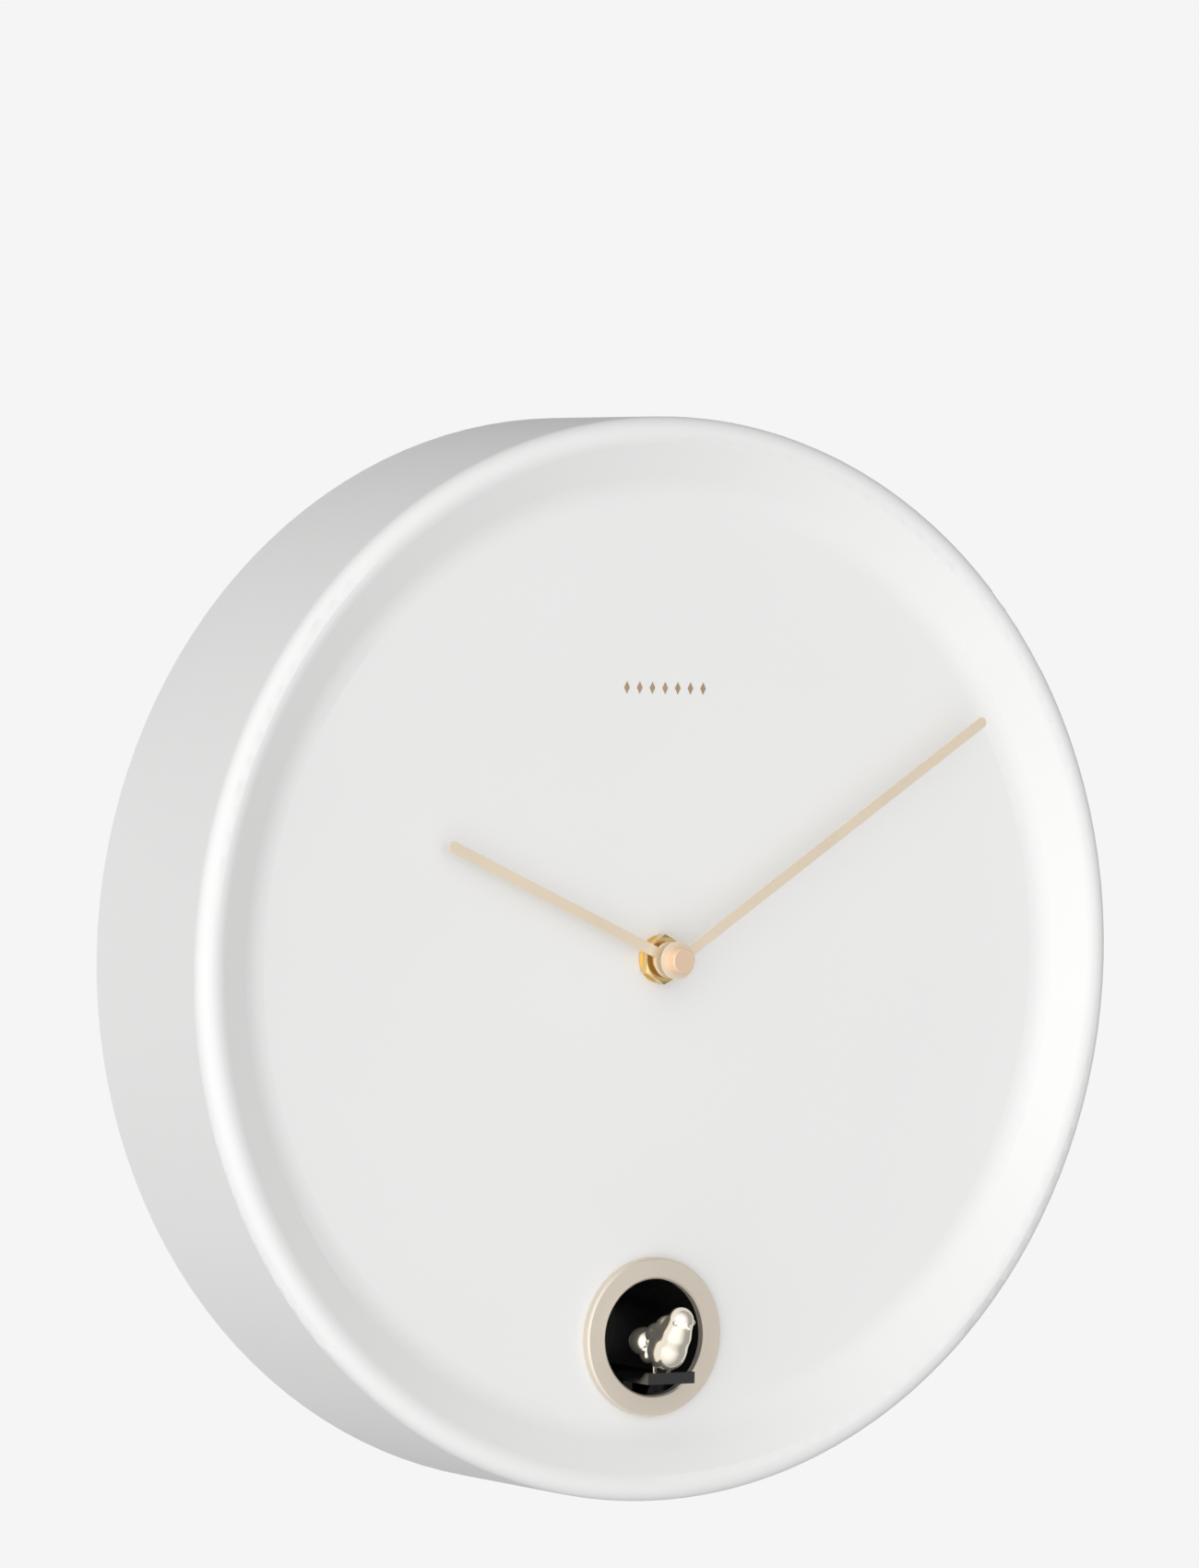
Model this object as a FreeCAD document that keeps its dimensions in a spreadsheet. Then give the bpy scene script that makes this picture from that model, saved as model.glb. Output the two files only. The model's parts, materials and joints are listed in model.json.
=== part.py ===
import FreeCAD, Part

import math
import os
import re
from types import SimpleNamespace

import Sketcher
from FreeCAD import Placement, Rotation, Vector

# A quartz wall clock with a cuckoo, in millimetres.
#
# Every piece is drawn in the clock's own frame, as if the clock lay on its back: x to the right,
# y up the dial, z out from the wall, with the hand axis at x = y = 0 and the wall at z = 0.
# STAND then hangs it up: the row frame has +X to the right, +Z up and the dial facing -Y.

STAND = Placement(Vector(0, 0, 0), Rotation(Vector(1, 0, 0), 90))

doc = FreeCAD.newDocument("cuckoo_clock")
sheet = doc.addObject("Spreadsheet::Sheet", "dims")
scratch = doc.addObject("App::FeaturePython", "scratch")
scratch.addProperty("App::PropertyFloat", "Result")

# How far a tool reaches past the face that it opens, where the two would otherwise coincide.
OVERLAP = 0.01

values = SimpleNamespace()
nodes = []


# ---------------------------------------------------------------- helpers: sheet and expressions

def dims(**cells):
    """Add driving dimensions to the sheet, one row each: the name, then the value with its alias."""
    for alias, value in cells.items():
        row = len(vars(values)) + 1
        sheet.set(f"A{row}", alias)
        sheet.set(f"B{row}", str(value))
        sheet.setAlias(f"B{row}", alias)
        setattr(values, alias, float(value))
    sheet.recompute()


def linked(text):
    """Turn the aliases in an expression into references to the sheet."""
    known = vars(values)
    return re.sub(r"[a-z_]+", lambda word: f"dims.{word[0]}" if word[0] in known else word[0], str(text))


def number(text):
    """The value of an expression, as the document works it out."""
    scratch.setExpression("Result", linked(text))
    scratch.recompute()
    return scratch.Result


def bind(obj, **properties):
    """Tie an object's properties to expressions in the sheet's aliases."""
    for name, text in properties.items():
        obj.setExpression(name, linked(text))


def move(obj, x, y, z):
    """Tie an object's position to expressions."""
    obj.setExpression("Placement.Base.x", linked(x))
    obj.setExpression("Placement.Base.y", linked(y))
    obj.setExpression("Placement.Base.z", linked(z))


def place(obj, x, y, z, rotation):
    """Put an object at a fixed place and turn, in place of its bound position."""
    for axis in "xyz":
        obj.setExpression(f"Placement.Base.{axis}", None)
    obj.Placement = Placement(Vector(x, y, z), rotation)
    return obj


def along_x(obj, x, y, z):
    """Lay an object drawn along z down along x, starting at a point."""
    return place(obj, x, y, z, Rotation(Vector(0, 1, 0), 90))


def upright(obj, x, y, z):
    """Turn an object drawn along z to run down the dial, starting at a point."""
    return place(obj, x, y, z, Rotation(Vector(1, 0, 0), 90))


def span(half, centre="0"):
    """The low and high expressions that lie half away from a centre."""
    return f"{centre} - ({half})", f"{centre} + ({half})"


def through(bottom, top):
    """The extent of a cutting tool that passes through a sheet and out on both sides."""
    return f"{bottom} - 1", f"{top} + 1"


def polar(centre, radius, degrees):
    """The point at a distance and direction from a centre, both in the plane of the dial."""
    angle = math.radians(degrees)
    return centre[0] + radius * math.cos(angle), centre[1] + radius * math.sin(angle)


# ---------------------------------------------------------------- helpers: Part primitives

def cylinder(name, radius, bottom, top, x="0", y="0"):
    """A cylinder along z."""
    obj = doc.addObject("Part::Cylinder", name)
    bind(obj, Radius=radius, Height=f"({top}) - ({bottom})")
    move(obj, x, y, bottom)
    return obj


def tube(name, outer, inner, bottom, top, x="0", y="0"):
    """A ring along z."""
    return cut(name, cylinder(f"{name}_outer", outer, bottom, top, x, y),
               cylinder(f"{name}_bore", inner, *through(bottom, top), x, y))


def cone(name, bottom_radius, top_radius, bottom, top, x="0", y="0"):
    """A frustum along z."""
    obj = doc.addObject("Part::Cone", name)
    bind(obj, Radius1=bottom_radius, Radius2=top_radius, Height=f"({top}) - ({bottom})")
    move(obj, x, y, bottom)
    return obj


def box(name, x, y, z):
    """A block between pairs of low and high expressions."""
    obj = doc.addObject("Part::Box", name)
    bind(obj, Length=f"({x[1]}) - ({x[0]})", Width=f"({y[1]}) - ({y[0]})", Height=f"({z[1]}) - ({z[0]})")
    move(obj, x[0], y[0], z[0])
    return obj


def egg(name, half_width, half_height, half_depth, x, y, z):
    """An ellipsoid with its own half size along each direction."""
    obj = doc.addObject("Part::Ellipsoid", name)
    bind(obj, Radius1=half_depth, Radius2=half_width, Radius3=half_height)
    obj.Angle1 = -90
    obj.Angle2 = 90
    obj.Angle3 = 360
    move(obj, x, y, z)
    return obj


def fuse(name, *shapes):
    """One solid from several."""
    obj = doc.addObject("Part::MultiFuse", name)
    obj.Shapes = list(shapes)
    obj.Refine = True
    return obj


def cut(name, base, *tools):
    """A solid with tools taken out of it."""
    obj = doc.addObject("Part::Cut", name)
    obj.Base = base
    obj.Tool = tools[0] if len(tools) == 1 else fuse(f"{name}_tools", *tools)
    return obj


def group(name, *shapes):
    """Several solids that share one node."""
    obj = doc.addObject("Part::Compound", name)
    obj.Links = list(shapes)
    return obj


# ---------------------------------------------------------------- helpers: PartDesign

def origin_item(body, role):
    """A body's own origin plane or axis."""
    return [item for item in body.Origin.OriginFeatures if item.Role == role][0]


def sketch(body, name, height="0", plane="XY_Plane", turn=0.0):
    """A sketch on an origin plane of its body, at a height along the plane's normal."""
    obj = body.newObject("Sketcher::SketchObject", f"{body.Name}_{name}")
    obj.AttachmentSupport = [(origin_item(body, plane), "")]
    obj.MapMode = "FlatFace"
    obj.AttachmentOffset = Placement(Vector(0, 0, 0), Rotation(Vector(0, 0, 1), turn))
    obj.setExpression("AttachmentOffset.Base.z", linked(height))
    return obj


def pin_point(sk, geometry, position, x, y):
    """Hold one point of a sketch at bound distances from its origin."""
    for kind, text in (("DistanceX", x), ("DistanceY", y)):
        index = sk.addConstraint(Sketcher.Constraint(kind, -1, 1, geometry, position, number(text)))
        sk.setExpression(f"Constraints[{index}]", linked(text))


def pin_radius(sk, geometry, radius):
    """Hold the radius of a circle or arc at a bound value."""
    index = sk.addConstraint(Sketcher.Constraint("Radius", geometry, number(radius)))
    sk.setExpression(f"Constraints[{index}]", linked(radius))


def circle(sk, radius, x="0", y="0"):
    """Draw a circle."""
    centre = Vector(number(x), number(y), 0)
    index = sk.addGeometry(Part.Circle(centre, Vector(0, 0, 1), number(radius)), False)
    pin_radius(sk, index, radius)
    pin_point(sk, index, 3, x, y)


# The radius of a half circle's arc over half its chord: a hair over 1, so that its centre is defined.
HALF_CIRCLE = 1.0001


def outline(sk, corners, arcs=None):
    """Draw a closed outline through the corners.

    An edge is straight unless arcs holds (radius, side) for its index: side is 1 where the arc's
    centre lies to the left of the way from its start to its end, and -1 where it lies to the right.
    """
    arcs = arcs or {}
    points = [Vector(number(x), number(y), 0) for x, y in corners]
    ends = []
    for index, start in enumerate(points):
        end = points[(index + 1) % len(points)]
        if index in arcs:
            radius, side = number(arcs[index][0]), arcs[index][1]
            middle = (start + end) / 2
            across = (end - start) / 2
            left = Vector(-across.y, across.x, 0).normalize()
            centre = middle + left * (side * math.sqrt(radius ** 2 - across.Length ** 2))
            crown = centre - left * (side * radius)
            geometry = sk.addGeometry(Part.Arc(start, crown, end), False)
            pin_radius(sk, geometry, arcs[index][0])
        else:
            geometry = sk.addGeometry(Part.LineSegment(start, end), False)
        first_is_start = sk.getPoint(geometry, 1).distanceToPoint(start) < 1e-6
        ends.append((geometry, 1, 2) if first_is_start else (geometry, 2, 1))
    for index, (geometry, first, _) in enumerate(ends):
        before, _, last = ends[index - 1]
        sk.addConstraint(Sketcher.Constraint("Coincident", before, last, geometry, first))
        pin_point(sk, geometry, first, *corners[index])


def rectangle(sk, x, y):
    """Draw a rectangle between pairs of low and high expressions."""
    outline(sk, [(x[0], y[0]), (x[1], y[0]), (x[1], y[1]), (x[0], y[1])])


def pad(body, sk, length):
    """Add a sketch's material towards the front."""
    obj = body.newObject("PartDesign::Pad", f"{sk.Name}_pad")
    obj.Profile = sk
    bind(obj, Length=length)
    sk.Visibility = False
    body.Tip = obj
    doc.recompute()
    return obj


def pocket(body, sk, length):
    """Take a sketch's outline away towards the wall, and make sure that it took something."""
    before = body.Shape.Volume
    obj = body.newObject("PartDesign::Pocket", f"{sk.Name}_pocket")
    obj.Profile = sk
    bind(obj, Length=length)
    body.Tip = obj
    doc.recompute()
    if body.Shape.Volume >= before:
        raise RuntimeError(f"{obj.Name} cuts nothing")
    return obj


def turned(body, sk):
    """Add a sketch's outline revolved about z."""
    obj = body.newObject("PartDesign::Revolution", f"{sk.Name}_turned")
    obj.Profile = sk
    obj.ReferenceAxis = (sk, ["V_Axis"])
    obj.Angle = 360
    body.Tip = obj
    doc.recompute()
    return obj


def repeat_round(body, feature, count):
    """Repeat a feature evenly about z."""
    obj = body.newObject("PartDesign::PolarPattern", f"{feature.Name}_round")
    obj.Originals = [feature]
    obj.Axis = (origin_item(body, "Z_Axis"), [""])
    obj.Angle = 360
    bind(obj, Occurrences=count)
    body.Tip = obj
    doc.recompute()
    return obj


def new_body(name):
    """An empty PartDesign body."""
    return doc.addObject("PartDesign::Body", name)


def add_rod(body, name, radius, bottom, top):
    """Add a round rod on the body's axis."""
    sk = sketch(body, name, bottom)
    circle(sk, radius)
    pad(body, sk, f"({top}) - ({bottom})")


def bore(body, name, radius, bottom, top):
    """Cut a round hole on the body's axis."""
    sk = sketch(body, name, top)
    circle(sk, radius)
    pocket(body, sk, f"({top}) - ({bottom})")


def add_gear(body, name, module, teeth, bottom, top, phase):
    """Add a spur gear on the body's axis, with one tooth centred on the direction phase, in degrees."""
    width = f"({top}) - ({bottom})"
    pitch = f"{module} * {teeth} / 2"
    add_rod(body, f"{name}_blank", f"{pitch} - 1.25 * {module}", bottom, top)
    root = f"{pitch} - 1.6 * {module}"
    tip = f"{pitch} + {module}"
    root_half = f"tooth_root_share * 1.5708 * {module}"
    tip_half = f"tooth_tip_share * 1.5708 * {module}"
    sk = sketch(body, f"{name}_tooth", bottom, turn=phase)
    outline(sk, [(root, f"-({root_half})"), (tip, f"-({tip_half})"), (tip, tip_half), (root, root_half)])
    repeat_round(body, pad(body, sk, width), teeth)


def facing_gap(direction, teeth):
    """The phase that turns a gap, and not a tooth, towards a direction."""
    return direction + 180.0 / teeth


# ---------------------------------------------------------------- helpers: finished pieces

def keep(obj, label, x=0.0, y=0.0, z=0.0, turn=None):
    """Name a finished piece and stand it up in the row frame."""
    obj.Label = label
    obj.Placement = STAND * Placement(Vector(x, y, z), turn or Rotation())
    nodes.append(obj)


def screw(name, x, y, seat, length):
    """A pan-head screw driven from the back: its head lies below the seat and its shank above."""
    head = cylinder(f"{name}_head", "screw_head_radius", f"{seat} - screw_head_height", seat, x, y)
    shank = cylinder(f"{name}_shank", "screw_radius", seat, f"{seat} + {length}", x, y)
    slots = [box(f"{name}_slot_{axis}",
                 (f"{x} - {reach_x}", f"{x} + {reach_x}"),
                 (f"{y} - {reach_y}", f"{y} + {reach_y}"),
                 (f"{seat} - screw_head_height - 1", f"{seat} - screw_head_height + screw_slot_depth"))
             for axis, reach_x, reach_y in (("x", "screw_slot_reach", "screw_slot_half"),
                                            ("y", "screw_slot_half", "screw_slot_reach"))]
    return cut(name, fuse(f"{name}_blank", head, shank), *slots)


# ---------------------------------------------------------------- case

dims(
    case_radius=150.0,
    case_depth=57.0,
    case_wall=2.5,
    dial_face=50.0,
    rim_slope=27.0,
    cove_radius=14.0,
    crest_radius=5.8,
    crest_circle=145.3,
    shoulder_radius=4.4,
    neck_radius=4.0,
    neck_hole_radius=4.2,
    post_circle=138.0,
    post_radius=4.0,
    post_count=6,
    post_top=51.0,
    post_hole_depth=12.0,
    screw_radius=1.25,
    screw_head_radius=2.7,
    screw_head_height=1.4,
    screw_slot_reach=1.6,
    screw_slot_half=0.35,
    screw_slot_depth=0.8,
    cover_back=2.0,
    cover_sheet=2.2,
    cover_radius=147.2,
    cover_screw_length=10.0,
    porthole_y=-104.7,
    tunnel_radius=17.6,
    tunnel_bore=16.2,
    tunnel_gap=0.2,
    flange_back=40.0,
    flange_sheet=1.5,
    flange_screw_circle=21.0,
    flange_screw_spread=70.0,
    tunnel_screw_length=6.0,
    boss_radius=3.0,
    boss_hole_rise=0.5,
    frame_ear_back=41.5,
    frame_ear_sheet=1.5,
    frame_screw_y=-130.0,
    frame_left_screw_x=-10.5,
    frame_right_screw_x=14.0,
    gearbox_screw_length=5.0,
    ear_half=4.0,
    ear_reach=4.5,
)

COVER_FRONT = "(cover_back + cover_sheet)"
DIAL_BACK = "(dial_face - case_wall)"
BOSS_HOLE_TOP = f"({DIAL_BACK} + boss_hole_rise)"
SLOPE_SIN = "sin(rim_slope * 1 deg)"
SLOPE_COS = "cos(rim_slope * 1 deg)"
SLOPE_RISE = f"(case_depth - dial_face - (crest_radius + cove_radius) * (1 - {SLOPE_COS}))"
DIAL_EDGE = (f"(crest_circle - (crest_radius + cove_radius) * {SLOPE_SIN}"
             f" - {SLOPE_RISE} * {SLOPE_COS} / {SLOPE_SIN})")
FLANGE_SCREW_ANGLES = tuple(90 + step * values.flange_screw_spread for step in (-1, 0, 1))


def slope_foot(inset):
    """Where the rim's slope leaves the cove, at a depth below the front surface."""
    return (f"{DIAL_EDGE} + (cove_radius + {inset}) * {SLOPE_SIN}",
            f"dial_face + cove_radius - (cove_radius + {inset}) * {SLOPE_COS}")


def slope_head(inset):
    """Where the rim's slope meets the crest, at a depth below the front surface."""
    return (f"crest_circle - (crest_radius - {inset}) * {SLOPE_SIN}",
            f"case_depth - crest_radius + (crest_radius - {inset}) * {SLOPE_COS}")


def flange_screw_places():
    """The centres of the tunnel's screws, round the porthole."""
    centre = (0.0, values.porthole_y)
    return [polar(centre, values.flange_screw_circle, angle) for angle in FLANGE_SCREW_ANGLES]


def frame_screw_places():
    """The centres of the gearbox frame's screws."""
    return [(x, values.frame_screw_y) for x in (values.frame_left_screw_x, values.frame_right_screw_x)]


def case_shell():
    """The drum: side wall, rounded rim with its inner slope, and dial in one moulding, with posts inside."""
    body = new_body("case_shell")
    profile = sketch(body, "profile", plane="XZ_Plane")
    shoulder = "case_radius - shoulder_radius"
    shoulder_height = "case_depth - shoulder_radius"
    outline(
        profile,
        [
            ("neck_hole_radius", "dial_face"),
            (DIAL_EDGE, "dial_face"),
            slope_foot("0"),
            slope_head("0"),
            ("crest_circle", "case_depth"),
            (shoulder, "case_depth"),
            ("case_radius", shoulder_height),
            ("case_radius", "0"),
            ("case_radius - case_wall", "0"),
            ("case_radius - case_wall", shoulder_height),
            (shoulder, "case_depth - case_wall"),
            ("crest_circle", "case_depth - case_wall"),
            slope_head("case_wall"),
            slope_foot("case_wall"),
            (DIAL_EDGE, DIAL_BACK),
            ("neck_hole_radius", DIAL_BACK),
        ],
        {
            1: ("cove_radius", 1),
            3: ("crest_radius", -1),
            5: ("shoulder_radius", -1),
            9: ("shoulder_radius - case_wall", 1),
            11: ("crest_radius - case_wall", 1),
            13: ("cove_radius + case_wall", -1),
        },
    )
    turned(body, profile)
    post = sketch(body, "post", COVER_FRONT)
    circle(post, "post_radius", "post_circle")
    repeat_round(body, pad(body, post, f"post_top - {COVER_FRONT}"), "post_count")
    bosses = (("flange", "flange_back + flange_sheet", flange_screw_places()),
              ("frame", "frame_ear_back + frame_ear_sheet", frame_screw_places()))
    for name, bottom, places in bosses:
        boss = sketch(body, f"{name}_boss", bottom)
        for x, y in places:
            circle(boss, "boss_radius", x, y)
        pad(body, boss, f"{DIAL_BACK} + case_wall / 2 - ({bottom})")
    hole = sketch(body, "post_hole", f"{COVER_FRONT} + post_hole_depth")
    circle(hole, "screw_radius", "post_circle")
    repeat_round(body, pocket(body, hole, "post_hole_depth"), "post_count")
    for name, bottom, places in bosses:
        hole = sketch(body, f"{name}_boss_hole", BOSS_HOLE_TOP)
        for x, y in places:
            circle(hole, "screw_radius", x, y)
        pocket(body, hole, f"{BOSS_HOLE_TOP} - ({bottom})")
    porthole = sketch(body, "porthole", "dial_face")
    circle(porthole, "tunnel_radius + tunnel_gap", "0", "porthole_y")
    pocket(body, porthole, "case_wall")
    keep(body, "case_shell")


# ---------------------------------------------------------------- rear cover and hanger

dims(
    well_half=29.5,
    well_wall=2.0,
    rim_hole_gap=0.3,
    well_front=30.0,
    bay_left=38.5,
    bay_right=98.0,
    bay_half=23.4,
    bay_floor=21.0,
    bay_wall=1.6,
    bay_mouth_left=42.0,
    bay_mouth_right=97.0,
    speaker_x=-72.0,
    speaker_y=-48.0,
    speaker_radius=20.0,
    speaker_seat_gap=0.2,
    speaker_seat_wall=1.7,
    speaker_seat_front=9.0,
    grille_hole=1.3,
    grille_step=4.6,
    grille_rings=3,
    hanger_y=110.0,
    hanger_hole=4.5,
    hanger_slot_half=2.3,
    hanger_slot_rise=9.0,
    hanger_sheet=1.5,
    hanger_half=22.0,
    hanger_low=98.0,
    hanger_high=128.0,
    hanger_screw_x=17.0,
    hanger_screw_y=113.0,
    hanger_head_height=0.4,
    hanger_screw_top=8.0,
    hanger_cup_half=11.0,
    hanger_cup_low=102.0,
    hanger_cup_high=124.0,
    hanger_cup_depth=7.0,
    board_left=42.0,
    board_right=98.0,
    board_low=-76.0,
    board_high=-38.0,
    board_back=10.0,
    board_sheet=1.6,
    board_post_inset=3.5,
    board_post_radius=2.5,
    switch_x=60.0,
    switch_y=-68.0,
    switch_half=6.0,
    slot_half=5.2,
    slot_half_height=1.6,
    button_x=80.0,
    button_y=-68.0,
    button_hole=2.2,
)


def board_post_places():
    """The centres of the sound board's corner posts."""
    inset = values.board_post_inset
    return [(x, y) for x in (values.board_left + inset, values.board_right - inset)
            for y in (values.board_low + inset, values.board_high - inset)]


def hanger_screw_places():
    """The centres of the hanger plate's screws."""
    return [(side * values.hanger_screw_x, values.hanger_screw_y) for side in (-1, 1)]


def walled_pocket(body, name, x, y, wall, bottom, floor, mouth=None):
    """A box on the cover's inner face, open to the back through a mouth in the cover's sheet."""
    outer = sketch(body, f"{name}_box", bottom)
    rectangle(outer, (f"{x[0]} - {wall}", f"{x[1]} + {wall}"), (f"{y[0]} - {wall}", f"{y[1]} + {wall}"))
    pad(body, outer, f"{floor} + {wall} - {bottom}")
    inner = sketch(body, f"{name}_hollow", floor)
    rectangle(inner, x, y)
    pocket(body, inner, f"{floor} - {bottom}")
    opening = sketch(body, f"{name}_mouth", bottom)
    rectangle(opening, mouth or x, y)
    pocket(body, opening, "cover_sheet")


def rear_cover():
    """The moulded back: a well to the movement, a battery bay, a speaker grille and a hanger cup."""
    body = new_body("rear_cover")
    disc = sketch(body, "disc", "cover_back")
    circle(disc, "cover_radius")
    pad(body, disc, "cover_sheet")

    well = sketch(body, "well", COVER_FRONT)
    rectangle(well, span("well_half + well_wall"), span("well_half + well_wall"))
    pad(body, well, f"well_front - {COVER_FRONT}")
    shaft = sketch(body, "well_shaft", "well_front")
    rectangle(shaft, span("well_half"), span("well_half"))
    pocket(body, shaft, "well_front - cover_back")

    walled_pocket(body, "bay", ("bay_left", "bay_right"), span("bay_half"), "bay_wall",
                  COVER_FRONT, "bay_floor", mouth=("bay_mouth_left", "bay_mouth_right"))
    walled_pocket(body, "cup", span("hanger_cup_half"), ("hanger_cup_low", "hanger_cup_high"),
                  "bay_wall", COVER_FRONT, "cover_back + hanger_cup_depth")

    seat = sketch(body, "speaker_seat", COVER_FRONT)
    circle(seat, "speaker_radius + speaker_seat_gap + speaker_seat_wall", "speaker_x", "speaker_y")
    circle(seat, "speaker_radius + speaker_seat_gap", "speaker_x", "speaker_y")
    pad(body, seat, f"speaker_seat_front - {COVER_FRONT}")

    posts = sketch(body, "board_posts", COVER_FRONT)
    for x, y in board_post_places():
        circle(posts, "board_post_radius", x, y)
    pad(body, posts, f"board_back - {COVER_FRONT}")
    post_holes = sketch(body, "board_post_holes", "board_back")
    for x, y in board_post_places():
        circle(post_holes, "screw_radius", x, y)
    pocket(body, post_holes, f"board_back - {COVER_FRONT}")

    grille = sketch(body, "grille", COVER_FRONT)
    circle(grille, "grille_hole", "speaker_x", "speaker_y")
    centre = (values.speaker_x, values.speaker_y)
    for ring in range(1, int(values.grille_rings) + 1):
        holes = 6 * ring
        for hole in range(holes):
            x, y = polar(centre, ring * values.grille_step, 360.0 * hole / holes)
            circle(grille, "grille_hole", x, y)
    pocket(body, grille, "cover_sheet")

    controls = sketch(body, "controls", COVER_FRONT)
    rectangle(controls, span("slot_half", "switch_x"), span("slot_half_height", "switch_y"))
    circle(controls, "button_hole", "button_x", "button_y")
    pocket(body, controls, "cover_sheet")

    hanger_holes = sketch(body, "hanger_holes", COVER_FRONT)
    for x, y in hanger_screw_places():
        circle(hanger_holes, "screw_radius", x, y)
    pocket(body, hanger_holes, "cover_sheet")
    rim_hole = sketch(body, "rim_hole", COVER_FRONT)
    circle(rim_hole, "screw_radius + rim_hole_gap", "post_circle")
    repeat_round(body, pocket(body, rim_hole, "cover_sheet"), "post_count")
    keep(body, "rear_cover")


def cover_screws():
    """The screws round the cover's rim, one in each of the case's posts."""
    count = int(values.post_count)
    pieces = []
    for index in range(count):
        x, y = polar((0.0, 0.0), values.post_circle, 360.0 * index / count)
        pieces.append(screw(f"cover_screw_{index}", x, y, "cover_back", "cover_screw_length"))
    keep(group("cover_screws", *pieces), "cover_screws")


def hanger_plate():
    """The steel plate with the keyhole that drops over a screw in the wall."""
    body = new_body("hanger_plate")
    plate = sketch(body, "plate", "cover_back - hanger_sheet")
    rectangle(plate, span("hanger_half"), ("hanger_low", "hanger_high"))
    pad(body, plate, "hanger_sheet")
    keyhole = sketch(body, "keyhole", "cover_back")
    circle(keyhole, "hanger_hole", "0", "hanger_y")
    pocket(body, keyhole, "hanger_sheet")
    slot = sketch(body, "slot", "cover_back")
    top = "hanger_y + hanger_slot_rise"
    outline(slot, [("-hanger_slot_half", "hanger_y"), ("hanger_slot_half", "hanger_y"),
                   ("hanger_slot_half", top), ("-hanger_slot_half", top)],
                   {2: (f"hanger_slot_half * {HALF_CIRCLE}", 1)})
    pocket(body, slot, "hanger_sheet")
    holes = sketch(body, "holes", "cover_back")
    for x, y in hanger_screw_places():
        circle(holes, "screw_radius", x, y)
    pocket(body, holes, "hanger_sheet")
    keep(body, "hanger_plate")


def hanger_screws():
    """Two rivet-headed screws through the hanger plate into the cover, with low heads clear of the wall."""
    seat = "cover_back - hanger_sheet"
    pieces = []
    for index, (x, y) in enumerate(hanger_screw_places()):
        head = cylinder(f"hanger_head_{index}", "screw_head_radius",
                        f"{seat} - hanger_head_height", seat, x, y)
        shank = cylinder(f"hanger_shank_{index}", "screw_radius", seat, "hanger_screw_top", x, y)
        pieces.append(fuse(f"hanger_screw_{index}", head, shank))
    keep(group("hanger_screws", *pieces), "hanger_screws")


# ---------------------------------------------------------------- battery bay

dims(
    cell_radius=7.1,
    cell_length=50.2,
    cell_cap_radius=2.75,
    cell_cap_length=1.4,
    cell_pitch=15.0,
    cell_gap=0.2,
    contact_gap=0.3,
    contact_sheet=0.4,
    contact_half=5.0,
    contact_back=7.0,
    door_left=39.5,
    door_right=99.5,
    door_half=25.6,
    door_back=0.5,
    door_front=1.7,
    door_hook_reach=3.0,
    door_hook_half=5.0,
    door_hook_y=14.0,
    door_neck_gap=0.3,
    door_neck_sheet=1.5,
    door_foot_gap=0.3,
    door_foot_sheet=1.2,
    door_grip_count=4,
    door_grip_inset=6.0,
    door_grip_step=3.0,
    door_grip_width=1.0,
    door_grip_half=8.0,
    door_grip_depth=0.4,
)

BAY_CELL_Z = "(bay_floor - cell_radius - cell_gap)"


def cell(name, x, y, z, towards):
    """An AA cell along x, with its positive cap on the side towards."""
    body_part = cylinder(f"{name}_can", "cell_radius", "0", "cell_length - cell_cap_length")
    cap = cylinder(f"{name}_cap", "cell_cap_radius", "cell_length - cell_cap_length", "cell_length")
    along = Rotation(Vector(0, 1, 0), 90 * towards)
    return place(fuse(name, body_part, cap), x - towards * values.cell_length / 2, y, z, along)


def bay_cells():
    """Three AA cells side by side, head to tail."""
    middle = (values.bay_mouth_left + values.bay_mouth_right) / 2
    height = number(BAY_CELL_Z)
    cells = [cell(f"sound_cell_{row + 1}", middle, row * values.cell_pitch, height, 1 if row % 2 else -1)
             for row in (-1, 0, 1)]
    keep(group("sound_cells", *cells), "sound_cells")


def battery_contacts():
    """Sprung strips at both ends of the bay, one pair for each cell."""
    pieces = []
    reach = values.cell_length / 2 + values.contact_gap
    middle = (values.bay_mouth_left + values.bay_mouth_right) / 2
    for row in (-1, 0, 1):
        y = row * values.cell_pitch
        for side in (-1, 1):
            near = middle + side * reach
            far = near + side * values.contact_sheet
            low, high = sorted((near, far))
            pieces.append(box(f"contact_{row + 1}_{side + 1}", (low, high), span("contact_half", y),
                              ("contact_back", "bay_floor")))
    keep(group("sound_contacts", *pieces), "sound_contacts")


def battery_door():
    """The sliding door: a plate behind the cover with two hooks that catch under the bay's mouth."""
    plate = box("door_plate", ("door_left", "door_right"), span("door_half"), ("door_back", "door_front"))
    neck_left = "bay_mouth_left + door_neck_gap"
    neck_right = f"{neck_left} + door_neck_sheet"
    foot_back = f"{COVER_FRONT} + door_foot_gap"
    foot_front = f"{foot_back} + door_foot_sheet"
    hooks = []
    for side in (-1, 1):
        y = span("door_hook_half", f"{side} * door_hook_y")
        hooks.append(box(f"door_neck_{side + 1}", (neck_left, neck_right), y, ("door_front", foot_front)))
        hooks.append(box(f"door_foot_{side + 1}", ("bay_mouth_left - door_hook_reach", neck_right), y,
                         (foot_back, foot_front)))
    grips = []
    for index in range(int(values.door_grip_count)):
        left = f"door_right - door_grip_inset - {index} * door_grip_step"
        grips.append(box(f"door_grip_{index}", (left, f"{left} + door_grip_width"), span("door_grip_half"),
                         ("door_back - 1", "door_back + door_grip_depth")))
    keep(cut("battery_door", fuse("door_blank", plate, *hooks), *grips), "battery_door")


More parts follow.
